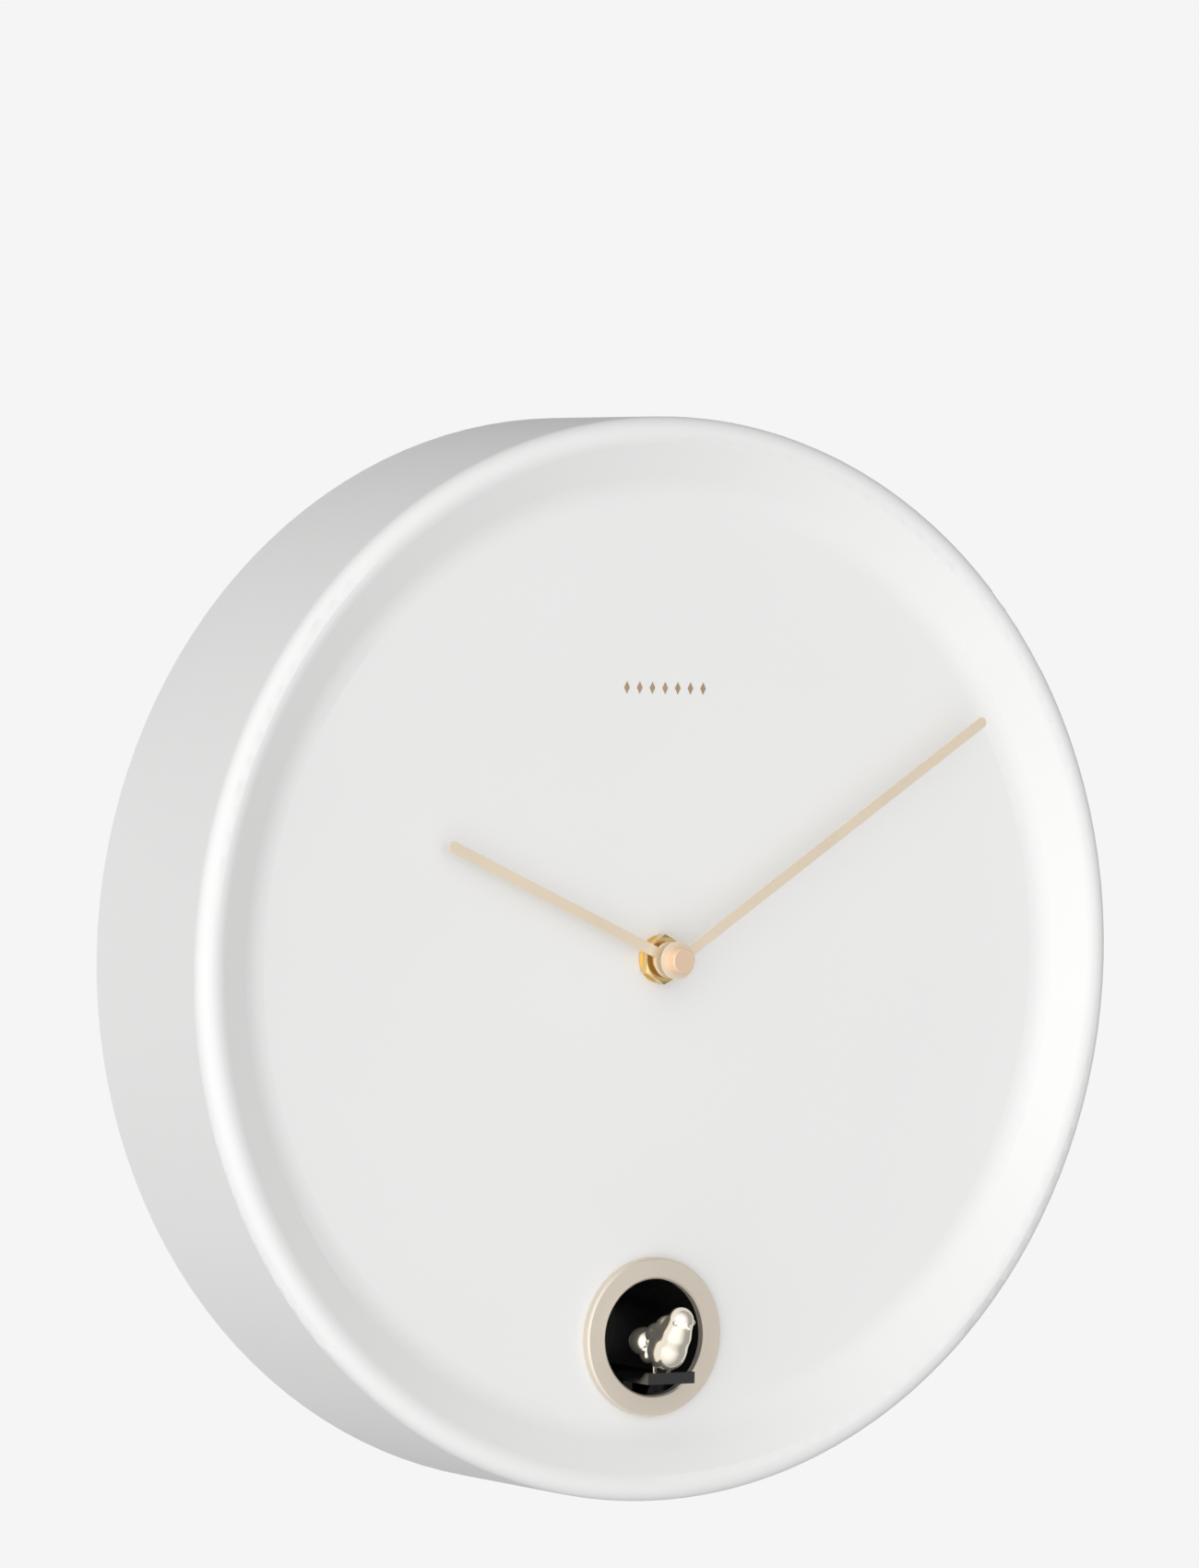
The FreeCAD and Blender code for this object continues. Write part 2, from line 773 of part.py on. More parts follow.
# ---------------------------------------------------------------- sound unit

dims(
    basket_sheet=1.0,
    basket_rim_bore=17.6,
    basket_throat=10.0,
    basket_wall=1.6,
    magnet_radius=9.0,
    magnet_back=9.5,
    magnet_front=14.5,
    cone_radius=17.0,
    cone_throat=5.0,
    cone_gap=0.3,
    cone_height=2.7,
    cone_wall=1.0,
    cone_sheet=0.5,
    board_hole=1.45,
    board_screw_clearance=1.0,
    board_head_radius=2.3,
    chip_x=65.0,
    chip_y=-51.0,
    chip_half=5.0,
    chip_height=2.0,
    large_capacitor_x=84.0,
    large_capacitor_y=-48.0,
    large_capacitor_radius=4.0,
    large_capacitor_height=9.0,
    small_capacitor_x=76.0,
    small_capacitor_y=-60.0,
    small_capacitor_radius=2.5,
    small_capacitor_height=7.0,
    socket_x=52.0,
    socket_half=4.0,
    socket_half_height=2.0,
    socket_height=5.0,
    motor_socket_y=-64.0,
    speaker_socket_y=-48.0,
    slide_housing_half=8.0,
    housing_half=3.5,
    track_half_height=2.0,
    track_depth=3.0,
    lever_half=1.2,
    lever_back=0.8,
    shoe_half=2.4,
    shoe_half_height=1.8,
    shoe_gap=0.4,
    shoe_sheet=2.0,
    switch_back=5.4,
    button_radius=1.8,
    button_back=1.0,
    button_gap=0.2,
    button_insertion=1.4,
    button_body_back=6.2,
    button_body_hole=2.6,
    button_collar=2.9,
    button_collar_gap=0.2,
    button_collar_sheet=0.8,
)


def speaker_basket():
    """The speaker's steel basket and magnet, facing the grille."""
    x, y = "speaker_x", "speaker_y"
    seat = f"{COVER_FRONT} + basket_sheet"
    rim = tube("basket_rim", "speaker_radius", "basket_rim_bore", COVER_FRONT, seat, x, y)
    shell = cone("basket_shell", "speaker_radius", "basket_throat", seat, "magnet_back", x, y)
    hollow = cone("basket_hollow", "speaker_radius - basket_wall", "basket_throat - basket_wall",
                  f"{seat} - {OVERLAP}", "magnet_back - basket_sheet", x, y)
    magnet = cylinder("magnet", "magnet_radius", "magnet_back", "magnet_front", x, y)
    keep(fuse("speaker_basket", rim, cut("basket_side", shell, hollow), magnet), "speaker_basket")


def speaker_cone():
    """The paper cone with its dust cap, inside the basket."""
    x, y = "speaker_x", "speaker_y"
    back = f"{COVER_FRONT} + cone_gap"
    front = f"{back} + cone_height"
    outer = cone("cone_outer", "cone_radius", "cone_throat", back, front, x, y)
    inner = cone("cone_inner", "cone_radius - cone_wall", "cone_throat - cone_wall", back,
                 f"{front} - cone_sheet", x, y)
    keep(cut("speaker_cone", outer, inner), "speaker_cone")


BOARD_TOP = "(board_back + board_sheet)"


def sound_board():
    """The circuit board that keeps the hours and plays the call."""
    plate = box("board_plate", ("board_left", "board_right"), ("board_low", "board_high"),
                ("board_back", BOARD_TOP))
    holes = [cylinder(f"board_hole_{index}", "board_hole", *through("board_back", BOARD_TOP), x, y)
             for index, (x, y) in enumerate(board_post_places())]
    keep(cut("sound_board", plate, *holes), "sound_board")


def sound_board_chips():
    """The sealed sound chip, two capacitors and the plug sockets on the board."""
    pieces = [box("sound_chip", span("chip_half", "chip_x"), span("chip_half", "chip_y"),
                  (BOARD_TOP, f"{BOARD_TOP} + chip_height"))]
    for size in ("large", "small"):
        stem = f"{size}_capacitor"
        pieces.append(cylinder(stem, f"{stem}_radius", BOARD_TOP, f"{BOARD_TOP} + {stem}_height",
                               f"{stem}_x", f"{stem}_y"))
    for use in ("motor", "speaker"):
        pieces.append(box(f"{use}_socket", span("socket_half", "socket_x"),
                          span("socket_half_height", f"{use}_socket_y"),
                          (BOARD_TOP, f"{BOARD_TOP} + socket_height")))
    keep(group("sound_board_chips", *pieces), "sound_board_chips")


def board_screws():
    """Four screws that hold the board on its posts, with their heads towards the dial."""
    pieces = []
    for index, (x, y) in enumerate(board_post_places()):
        head = cylinder(f"board_head_{index}", "board_head_radius", BOARD_TOP,
                        f"{BOARD_TOP} + screw_head_height", x, y)
        shank = cylinder(f"board_shank_{index}", "screw_radius", f"{COVER_FRONT} + board_screw_clearance",
                         BOARD_TOP, x, y)
        pieces.append(fuse(f"board_screw_{index}", head, shank))
    keep(group("board_screws", *pieces), "board_screws")


def switch_bodies():
    """The slide switch's housing and the push switch's housing, soldered to the back of the board."""
    slide_block = box("slide_block", span("slide_housing_half", "switch_x"), span("housing_half", "switch_y"),
                      ("switch_back", "board_back"))
    track = box("slide_track", span("switch_half", "switch_x"), span("track_half_height", "switch_y"),
                ("switch_back - 1", "switch_back + track_depth"))
    push_block = box("push_block", span("housing_half", "button_x"), span("housing_half", "button_y"),
                     ("button_body_back", "board_back"))
    hole = cylinder("push_hole", "button_radius + button_gap", "button_body_back - 1",
                    "button_body_back + button_body_hole", "button_x", "button_y")
    housings = (cut("slide_housing", slide_block, track), cut("push_housing", push_block, hole))
    keep(group("switch_bodies", *housings), "switch_bodies")


def mode_slider():
    """The slide switch's lever: off at one end, on at the other."""
    shoe_back = "switch_back + shoe_gap"
    lever = box("lever_stem", span("lever_half", "switch_x"), span("lever_half", "switch_y"),
                ("lever_back", shoe_back))
    shoe = box("lever_shoe", span("shoe_half", "switch_x"), span("shoe_half_height", "switch_y"),
               (shoe_back, f"{shoe_back} + shoe_sheet"))
    keep(fuse("mode_slider", lever, shoe), "mode_slider")


def test_button():
    """The push button that sounds one call."""
    x, y = "button_x", "button_y"
    collar_back = f"{COVER_FRONT} + button_collar_gap"
    stem = cylinder("button_stem", "button_radius",
                    "button_back", "button_body_back + button_insertion", x, y)
    collar = cylinder("button_collar_ring", "button_collar", collar_back,
                      f"{collar_back} + button_collar_sheet", x, y)
    keep(fuse("test_button", stem, collar), "test_button")


# ---------------------------------------------------------------- movement

dims(
    movement_half=28.0,
    movement_back=31.0,
    movement_front=46.5,
    movement_wall=1.2,
    movement_plate=1.4,
    cell_wall_low=-11.2,
    cell_wall_high=-10.0,
    movement_cell_y=-19.0,
    pillar_root=0.2,
    front_pivot_depth=0.9,
    neck_bore=2.6,
    thread_gap=0.02,
    pivot_gap=0.05,
    knob_gap=0.08,
    lid_gap=0.1,
    neck_front=54.2,
    neck_shoulder=5.5,
    gasket_radius=13.0,
    gasket_gap=0.2,
    washer_radius=6.6,
    washer_gap=0.1,
    washer_sheet=0.5,
    nut_corner=7.0,
    nut_height=3.0,
    nut_bevel=0.5,
    nut_bevel_reach=0.9,
    bridge_back=40.2,
    bridge_front=41.2,
    bridge_high=19.5,
    pillar_radius=1.6,
    pillar_x=24.5,
    pillar_low=-7.5,
    pillar_high=17.5,
    arbor_radius=0.5,
    motion_gap=0.5,
    motion_width=1.1,
    hour_wheel_gap=0.6,
    hour_wheel_width=1.2,
    pivot_reach=0.8,
    pivot_inset=0.1,
    minute_shaft_inset=0.4,
    centre_boss=2.2,
    clutch_radius=2.1,
    knob_shoulder=43.0,
    knob_groove=0.7,
    knob_groove_gap=0.2,
    knob_groove_count=16,
    knob_arrow_depth=0.5,
    arbor_back=31.3,
    arbor_front=41.0,
    minute_shaft=1.0,
    minute_pipe=1.75,
    minute_tip=1.4,
    minute_pipe_front=59.0,
    minute_tip_front=62.2,
    hour_pipe=2.5,
    hour_pipe_bore=1.85,
    hour_pipe_front=57.0,
    knob_shaft=1.5,
    knob_pivot=0.6,
    knob_radius=6.0,
    knob_back=27.0,
    knob_front=30.6,
    tooth_root_share=0.62,
    tooth_tip_share=0.22,
    motion_module=0.4,
    hour_module=0.384,
    cannon_teeth=12,
    minute_teeth=36,
    minute_pinion_teeth=10,
    hour_teeth=40,
    knob_teeth=12,
    centre_module=0.28,
    centre_teeth=64,
    train_module=0.25,
    third_teeth=60,
    seconds_teeth=40,
    rotor_module=0.2,
    intermediate_teeth=48,
    pinion_teeth=8,
    magnet_disc=3.0,
    stator_hole=3.4,
    stator_ring=4.8,
    stator_back=38.5,
    stator_sheet=0.8,
    stator_left=-20.0,
    stator_leg_low=15.6,
    stator_leg_high=18.4,
    stator_high=25.0,
    left_riser_width=3.5,
    right_riser_left=1.5,
    right_riser_right=2.4,
    magnet_overhang=0.3,
    coil_y=23.2,
    coil_radius=3.2,
    coil_rim=0.4,
    coil_flange_sheet=0.6,
    coil_left=-14.0,
    coil_right=7.0,
    core_right=13.0,
    core_half=1.5,
    core_sheet=0.8,
    small_board_left=-25.5,
    small_board_right=-4.0,
    small_board_low=-9.0,
    small_board_high=8.0,
    small_board_back=33.0,
    small_board_sheet=1.0,
    small_chip_radius=3.0,
    small_chip_x=-12.0,
    small_chip_y=2.0,
    crystal_radius=1.5,
    crystal_length=8.0,
    crystal_x=-20.0,
    crystal_y=-5.5,
    crystal_z=35.6,
    strip_low=-24.0,
    strip_high=-14.0,
    strip_back=32.0,
    strip_front=44.0,
)

TO_MINUTE_WHEEL = 135.0
TO_THIRD_WHEEL = 45.0
TO_SECONDS_WHEEL = 20.0
TO_INTERMEDIATE_WHEEL = 80.0
TO_ROTOR = 170.0
HUB = (0.0, 0.0)


def mesh_distance(module, teeth_a, teeth_b):
    """The distance between the centres of two meshed gears."""
    return module * (teeth_a + teeth_b) / 2


def meshed_place(centre, module, teeth, towards):
    """Where a gear stands that meshes with one at a centre; module and teeth name their dimensions."""
    first, second = (getattr(values, name) for name in teeth)
    return polar(centre, mesh_distance(getattr(values, module), first, second), towards)


MINUTE_WHEEL_AT = meshed_place(HUB, "motion_module", ("cannon_teeth", "minute_teeth"), TO_MINUTE_WHEEL)
KNOB_AT = meshed_place(MINUTE_WHEEL_AT, "motion_module", ("minute_teeth", "knob_teeth"), TO_MINUTE_WHEEL)
THIRD_WHEEL_AT = meshed_place(HUB, "centre_module", ("centre_teeth", "pinion_teeth"), TO_THIRD_WHEEL)
SECONDS_WHEEL_AT = meshed_place(THIRD_WHEEL_AT, "train_module", ("third_teeth", "pinion_teeth"),
                                TO_SECONDS_WHEEL)
INTERMEDIATE_AT = meshed_place(SECONDS_WHEEL_AT, "train_module", ("seconds_teeth", "pinion_teeth"),
                               TO_INTERMEDIATE_WHEEL)
ROTOR_AT = meshed_place(INTERMEDIATE_AT, "rotor_module", ("intermediate_teeth", "pinion_teeth"), TO_ROTOR)
TRAIN_PLACES = (THIRD_WHEEL_AT, SECONDS_WHEEL_AT, INTERMEDIATE_AT, ROTOR_AT)

NUT_BACK = "(dial_face + washer_sheet)"
NUT_FRONT = f"({NUT_BACK} + nut_height)"
PLATE_BACK = "(movement_front - movement_plate)"
MOTION_BACK = "(bridge_front + motion_gap)"
MOTION_FRONT = f"({MOTION_BACK} + motion_width)"
LID_SPAN = span("movement_half - movement_wall - lid_gap")

# How far behind the bridge each piece of the going train starts and ends.
TRAIN_DEPTHS = {
    "clutch_collar": (3.6, 3.1),
    "clutch_spring": (3.1, 2.7),
    "centre_boss": (2.6, 0.2),
    "centre_wheel": (1.8, 0.6),
    "third_wheel": (3.6, 2.6),
    "third_pinion": (2.3, 0.4),
    "seconds_wheel": (5.3, 4.4),
    "seconds_pinion": (3.7, 2.5),
    "intermediate_wheel": (7.0, 6.2),
    "intermediate_pinion": (5.4, 4.3),
    "rotor_pinion": (7.1, 6.1),
}


def behind_bridge(name):
    """The extent of a piece of the going train."""
    back, front = TRAIN_DEPTHS[name]
    return f"bridge_back - {back}", f"bridge_back - {front}"


def movement_front_case():
    """The movement's main moulding: a box with the gear chamber, the cell's bay and the bridge's pillars."""
    half = span("movement_half")
    inside = span("movement_half - movement_wall")
    depth = ("movement_back - 1", PLATE_BACK)
    shell = cut(
        "movement_shell",
        box("movement_block", half, half, ("movement_back", "movement_front")),
        box("gear_chamber", inside, ("cell_wall_high", inside[1]), depth),
        box("cell_chamber", inside, (inside[0], "cell_wall_low"), depth),
        cylinder("neck_seat", "neck_radius + thread_gap", *through(PLATE_BACK, "movement_front")),
    )
    corners = [(side * values.pillar_x, level) for side in (-1, 1)
               for level in (values.pillar_low, values.pillar_high)]
    pillars = [cylinder(f"pillar_{index}", "pillar_radius",
                        "bridge_front", f"{PLATE_BACK} + pillar_root", x, y)
               for index, (x, y) in enumerate(corners)]
    pivots = [cylinder(f"front_pivot_{index}", f"{radius} + pivot_gap", f"{PLATE_BACK} - 1",
                       f"{PLATE_BACK} + front_pivot_depth", *place)
              for index, (radius, place) in enumerate((("arbor_radius", MINUTE_WHEEL_AT),
                                                       ("knob_pivot", KNOB_AT)))]
    keep(cut("movement_case", fuse("movement_with_pillars", shell, *pillars), *pivots), "movement_case")


def pierced_plate(name, y, z, arbors, centre_gap):
    """A plate across the gear chamber with holes for the arbors, the minute shaft and the setting knob."""
    depth = through(*z)
    holes = [cylinder(f"{name}_pivot_{index}", "arbor_radius + pivot_gap", *depth, *place)
             for index, place in enumerate(arbors)]
    holes.append(cylinder(f"{name}_centre", f"minute_shaft + {centre_gap}", *depth))
    holes.append(cylinder(f"{name}_knob", "knob_shaft + knob_gap", *depth, *KNOB_AT))
    return cut(name, box(f"{name}_blank", LID_SPAN, y, z), *holes)


def movement_rear_case():
    """The lid of the gear chamber, with the train's back pivots."""
    plate = pierced_plate("movement_lid", ("cell_wall_high + lid_gap", LID_SPAN[1]),
                          ("movement_back", "movement_back + movement_wall"), TRAIN_PLACES, "pivot_gap")
    keep(plate, "movement_lid")


def bridge_plate():
    """The plate between the going train and the motion work."""
    plate = pierced_plate("bridge_plate", ("cell_wall_high + lid_gap", "bridge_high"),
                          ("bridge_back", "bridge_front"), TRAIN_PLACES + (MINUTE_WHEEL_AT,), "knob_gap")
    keep(plate, "bridge_plate")


def neck_bushing():
    """The threaded brass neck that carries the movement in the dial."""
    neck = cylinder("neck_tube", "neck_radius", PLATE_BACK, "neck_front")
    shoulder = cylinder("neck_collar", "neck_shoulder", "movement_front", DIAL_BACK)
    hole = cylinder("neck_bore_tool", "neck_bore", *through(PLATE_BACK, "neck_front"))
    keep(cut("neck_bushing", fuse("neck_blank", neck, shoulder), hole), "neck_bushing")


def dial_gasket():
    """The rubber ring between the movement and the dial."""
    keep(tube("dial_gasket", "gasket_radius", "neck_shoulder + gasket_gap", "movement_front", DIAL_BACK),
         "dial_gasket")


def neck_washer():
    """The brass washer under the neck's nut."""
    keep(tube("neck_washer", "washer_radius", "neck_radius + washer_gap", "dial_face", NUT_BACK),
         "neck_washer")


def neck_nut():
    """The hexagonal brass nut on the neck, with its front corners turned off."""
    blank = new_body("nut_blank")
    hexagon = sketch(blank, "hexagon", NUT_BACK)
    outline(hexagon, [(f"nut_corner * cos({angle} deg)", f"nut_corner * sin({angle} deg)")
                      for angle in range(30, 390, 60)])
    pad(blank, hexagon, "nut_height")
    bore(blank, "thread", "neck_radius + thread_gap", NUT_BACK, NUT_FRONT)
    bevel_back = f"{NUT_FRONT} - nut_bevel"
    envelope = fuse("nut_envelope", cylinder("nut_round", f"nut_corner + {OVERLAP}", NUT_BACK, bevel_back),
                    cone("nut_taper", f"nut_corner + {OVERLAP}", "nut_corner - nut_bevel_reach", bevel_back,
                         NUT_FRONT))
    nut = doc.addObject("Part::MultiCommon", "neck_nut")
    nut.Shapes = [blank, envelope]
    keep(nut, "neck_nut")


def minute_arbor():
    """The steel arbor with the cannon pinion, its pipe and the threaded tip for the hand's cap."""
    body = new_body("minute_arbor")
    add_rod(body, "shaft", "minute_shaft", "movement_back + minute_shaft_inset", MOTION_BACK)
    add_rod(body, "collar", "knob_shaft", *behind_bridge("clutch_collar"))
    add_gear(body, "cannon", "motion_module", "cannon_teeth", MOTION_BACK, MOTION_FRONT,
             facing_gap(TO_MINUTE_WHEEL, values.cannon_teeth))
    add_rod(body, "pipe", "minute_pipe", MOTION_FRONT, "minute_pipe_front")
    add_rod(body, "tip", "minute_tip", "minute_pipe_front", "minute_tip_front")
    keep(body, "minute_arbor")


def clutch_spring():
    """The spring washer that lets the hands be set while the train stands still."""
    keep(tube("clutch_spring", "clutch_radius", "minute_shaft + pivot_gap", *behind_bridge("clutch_spring")),
         "clutch_spring")


def hour_wheel():
    """The hour wheel and its pipe, which turns inside the neck."""
    body = new_body("hour_wheel")
    front = f"({PLATE_BACK} - hour_wheel_gap)"
    back = f"({front} - hour_wheel_width)"
    add_gear(body, "wheel", "hour_module", "hour_teeth", back, front,
             facing_gap(TO_MINUTE_WHEEL, values.hour_teeth))
    add_rod(body, "pipe", "hour_pipe", front, "hour_pipe_front")
    bore(body, "pipe_bore", "hour_pipe_bore", back, "hour_pipe_front")
    keep(body, "hour_wheel")


def minute_wheel():
    """The wheel and pinion that bring the minute arbor down to the hour wheel."""
    body = new_body("minute_wheel")
    toward_hub = TO_MINUTE_WHEEL + 180
    add_rod(body, "arbor", "arbor_radius", "bridge_back + pivot_inset", f"{PLATE_BACK} + pivot_reach")
    add_gear(body, "wheel", "motion_module", "minute_teeth", MOTION_BACK, MOTION_FRONT, toward_hub)
    add_gear(body, "pinion", "hour_module", "minute_pinion_teeth",
             MOTION_FRONT, f"{PLATE_BACK} - hour_wheel_gap", toward_hub)
    keep(body, "minute_wheel", *MINUTE_WHEEL_AT)


def setting_knob():
    """The knob at the back that turns the hands."""
    body = new_body("setting_knob")
    add_rod(body, "knob", "knob_radius", "knob_back", "knob_front")
    add_rod(body, "shaft", "knob_shaft", "knob_front", "knob_shoulder")
    add_rod(body, "pivot", "knob_pivot", "knob_shoulder", f"{PLATE_BACK} + pivot_reach")
    add_gear(body, "pinion", "motion_module", "knob_teeth", MOTION_BACK, MOTION_FRONT,
             facing_gap(TO_MINUTE_WHEEL + 180, values.knob_teeth))
    groove = sketch(body, "groove", "knob_front")
    circle(groove, "knob_groove", "knob_radius + knob_groove_gap")
    repeat_round(body, pocket(body, groove, "knob_front - knob_back"), "knob_groove_count")
    arrow = sketch(body, "arrow", "knob_back + knob_arrow_depth")
    tip, barb, tail = (0, 4), (2, 1), (0.6, -3.5)
    right = [(tail[0], tail[1]), (tail[0], barb[1]), barb, tip]
    outline(arrow, [(-tail[0], tail[1])] + right + [(-barb[0], barb[1]), (-tail[0], barb[1])])
    pocket(body, arrow, "knob_arrow_depth")
    keep(body, "setting_knob", *KNOB_AT)


def centre_wheel():
    """The train's last wheel, loose on the minute arbor and driven through the clutch spring."""
    body = new_body("centre_wheel")
    boss = behind_bridge("centre_boss")
    add_rod(body, "boss", "centre_boss", *boss)
    add_gear(body, "wheel", "centre_module", "centre_teeth", *behind_bridge("centre_wheel"), TO_THIRD_WHEEL)
    bore(body, "boss_bore", "minute_shaft + pivot_gap", *boss)
    keep(body, "centre_wheel")


def train_wheel(name, place, wheel, pinion):
    """A wheel and pinion on one arbor; wheel and pinion are (module, teeth, bottom, top, phase)."""
    body = new_body(name)
    add_rod(body, "arbor", "arbor_radius", "arbor_back", "arbor_front")
    add_gear(body, "wheel", *wheel)
    add_gear(body, "pinion", *pinion)
    keep(body, name, *place)


def going_train():
    """The wheels between the stepping rotor and the centre wheel."""
    teeth = values.pinion_teeth
    train_wheel("third_wheel", THIRD_WHEEL_AT,
                ("train_module", "third_teeth", *behind_bridge("third_wheel"), TO_SECONDS_WHEEL),
                ("centre_module", "pinion_teeth", *behind_bridge("third_pinion"),
                 facing_gap(TO_THIRD_WHEEL + 180, teeth)))
    train_wheel("seconds_wheel", SECONDS_WHEEL_AT,
                ("train_module", "seconds_teeth", *behind_bridge("seconds_wheel"), TO_INTERMEDIATE_WHEEL),
                ("train_module", "pinion_teeth", *behind_bridge("seconds_pinion"),
                 facing_gap(TO_SECONDS_WHEEL + 180, teeth)))
    train_wheel("intermediate_wheel", INTERMEDIATE_AT,
                ("rotor_module", "intermediate_teeth", *behind_bridge("intermediate_wheel"), TO_ROTOR),
                ("train_module", "pinion_teeth", *behind_bridge("intermediate_pinion"),
                 facing_gap(TO_INTERMEDIATE_WHEEL + 180, teeth)))


def rotor():
    """The magnet that steps once a second, with its pinion."""
    body = new_body("rotor")
    add_rod(body, "arbor", "arbor_radius", "arbor_back", "arbor_front")
    add_rod(body, "magnet", "magnet_disc", "stator_back - magnet_overhang",
            "stator_back + stator_sheet + magnet_overhang")
    add_gear(body, "pinion", "rotor_module", "pinion_teeth", *behind_bridge("rotor_pinion"),
             facing_gap(TO_ROTOR + 180, values.pinion_teeth))
    keep(body, "rotor", *ROTOR_AT)


def stator():
    """The soft-iron plate round the rotor, with legs up to both ends of the coil's core."""
    z = ("stator_back", "stator_back + stator_sheet")
    x, y = ROTOR_AT
    ring = cylinder("stator_disc", "stator_ring", *z, x, y)
    long_leg = box("stator_long_leg", ("stator_left", x), ("stator_leg_low", "stator_leg_high"), z)
    left_riser = box("stator_left_riser", ("stator_left", "stator_left + left_riser_width"),
                     ("stator_leg_low", "stator_high"), z)
    right_riser = box("stator_right_riser", (f"{x} - right_riser_left", f"{x} + right_riser_right"),
                      (y, "stator_high"), z)
    hole = cylinder("stator_hole_tool", "stator_hole", *through(*z), x, y)
    keep(cut("stator", fuse("stator_blank", ring, long_leg, left_riser, right_riser), hole), "stator")


def coil():
    """The winding on its core, over the stator's legs."""
    height = values.stator_back - values.core_sheet / 2
    winding = cylinder("winding_round", "coil_radius - coil_rim", "0", "coil_right - coil_left")
    flanges = [cylinder("winding_flange_left", "coil_radius", "0", "coil_flange_sheet"),
               cylinder("winding_flange_right", "coil_radius", "coil_right - coil_left - coil_flange_sheet",
                        "coil_right - coil_left")]
    bobbin = along_x(fuse("bobbin", winding, *flanges), values.coil_left, values.coil_y, height)
    core = box("coil_core", ("stator_left", "core_right"), span("core_half", "coil_y"),
               ("stator_back - core_sheet", "stator_back"))
    keep(fuse("drive_coil", bobbin, core), "drive_coil")


def movement_board():
    """The movement's small circuit board with its sealed chip."""
    board_front = "(small_board_back + small_board_sheet)"
    plate = box("movement_board_plate", ("small_board_left", "small_board_right"),
                ("small_board_low", "small_board_high"), ("small_board_back", board_front))
    blob = cylinder("chip_blob", "small_chip_radius", board_front, f"{board_front} + small_board_sheet",
                    "small_chip_x", "small_chip_y")
    keep(fuse("movement_board", plate, blob), "movement_board")


def quartz_crystal():
    """The crystal's can, laid beside the movement's board."""
    keep(along_x_piece("quartz_crystal", "crystal_radius", "crystal_length",
                       values.crystal_x, values.crystal_y, values.crystal_z), "quartz_crystal")


def along_x_piece(name, radius, length, x, y, z):
    """A rod along x as a piece of its own."""
    return group(name, along_x(cylinder(f"{name}_rod", radius, "0", length), x, y, z))


def movement_cell():
    """The going train's own AA cell."""
    height = values.movement_front - values.movement_plate - values.cell_radius
    keep(group("movement_cell", cell("movement_cell_can", 0.0, values.movement_cell_y, height, 1)),
         "movement_cell")


def movement_contacts():
    """The strips at both ends of the movement's cell."""
    left, right = span("movement_half - movement_wall")
    y = ("strip_low", "strip_high")
    z = ("strip_back", "strip_front")
    pieces = [box("movement_contact_left", (left, f"{left} + contact_sheet"), y, z),
              box("movement_contact_right", (f"{right} - contact_sheet", right), y, z)]
    keep(group("movement_contacts", *pieces), "movement_contacts")


# ---------------------------------------------------------------- hands

dims(
    hand_sheet=0.6,
    hand_half=1.5,
    hour_hand_back=55.8,
    hour_reach=79.3,
    hour_boss=5.0,
    hour_angle=293.4,
    minute_hand_back=59.6,
    minute_reach=122.5,
    minute_boss=5.2,
    minute_angle=56.4,
    boss_sheet=1.2,
    cap_radius=3.5,
    cap_back=60.2,
    cap_front=63.05,
    cap_fillet=0.25,
    cap_thread_reach=0.2,
)


def hand(name, back, reach, boss, hole, angle):
    """A flat hand with a round end and a round boss on its pipe; angle is clockwise from twelve."""
    body = new_body(name)
    strip = sketch(body, "strip", back)
    shoulder = f"({reach} - hand_half)"
    corners = [("-hand_half", "0"), ("hand_half", "0"), ("hand_half", shoulder), ("-hand_half", shoulder)]
    outline(strip, corners, {2: (f"hand_half * {HALF_CIRCLE}", 1)})
    pad(body, strip, "hand_sheet")
    add_rod(body, "boss", boss, f"{back} + hand_sheet - boss_sheet", f"{back} + hand_sheet")
    bore(body, "boss_hole", hole, f"{back} + hand_sheet - boss_sheet", f"{back} + hand_sheet")
    keep(body, name, turn=Rotation(Vector(0, 0, 1), -angle))


def hands():
    """The hour hand and the minute hand."""
    hand("hour_hand", "hour_hand_back", "hour_reach", "hour_boss", "hour_pipe + thread_gap",
         values.hour_angle)
    hand("minute_hand", "minute_hand_back", "minute_reach", "minute_boss", "minute_tip + thread_gap",
         values.minute_angle)


def hand_cap():
    """The brass cap that screws on the minute arbor and holds the minute hand."""
    body = new_body("hand_cap")
    add_rod(body, "barrel", "cap_radius", "cap_back", "cap_front")
    bore(body, "thread", "minute_tip + thread_gap", "cap_back", "minute_tip_front + cap_thread_reach")
    barrel = body.Tip
    fillet = body.newObject("PartDesign::Fillet", "hand_cap_edge")
    fillet.Base = (barrel, [front_edge(barrel.Shape)])
    bind(fillet, Radius="cap_fillet")
    body.Tip = fillet
    doc.recompute()
    keep(body, "hand_cap")


def front_edge(shape):
    """The name of the edge that lies furthest to the front."""
    heights = [edge.BoundBox.ZMin for edge in shape.Edges]
    return f"Edge{heights.index(max(heights)) + 1}"


# ---------------------------------------------------------------- porthole and cuckoo

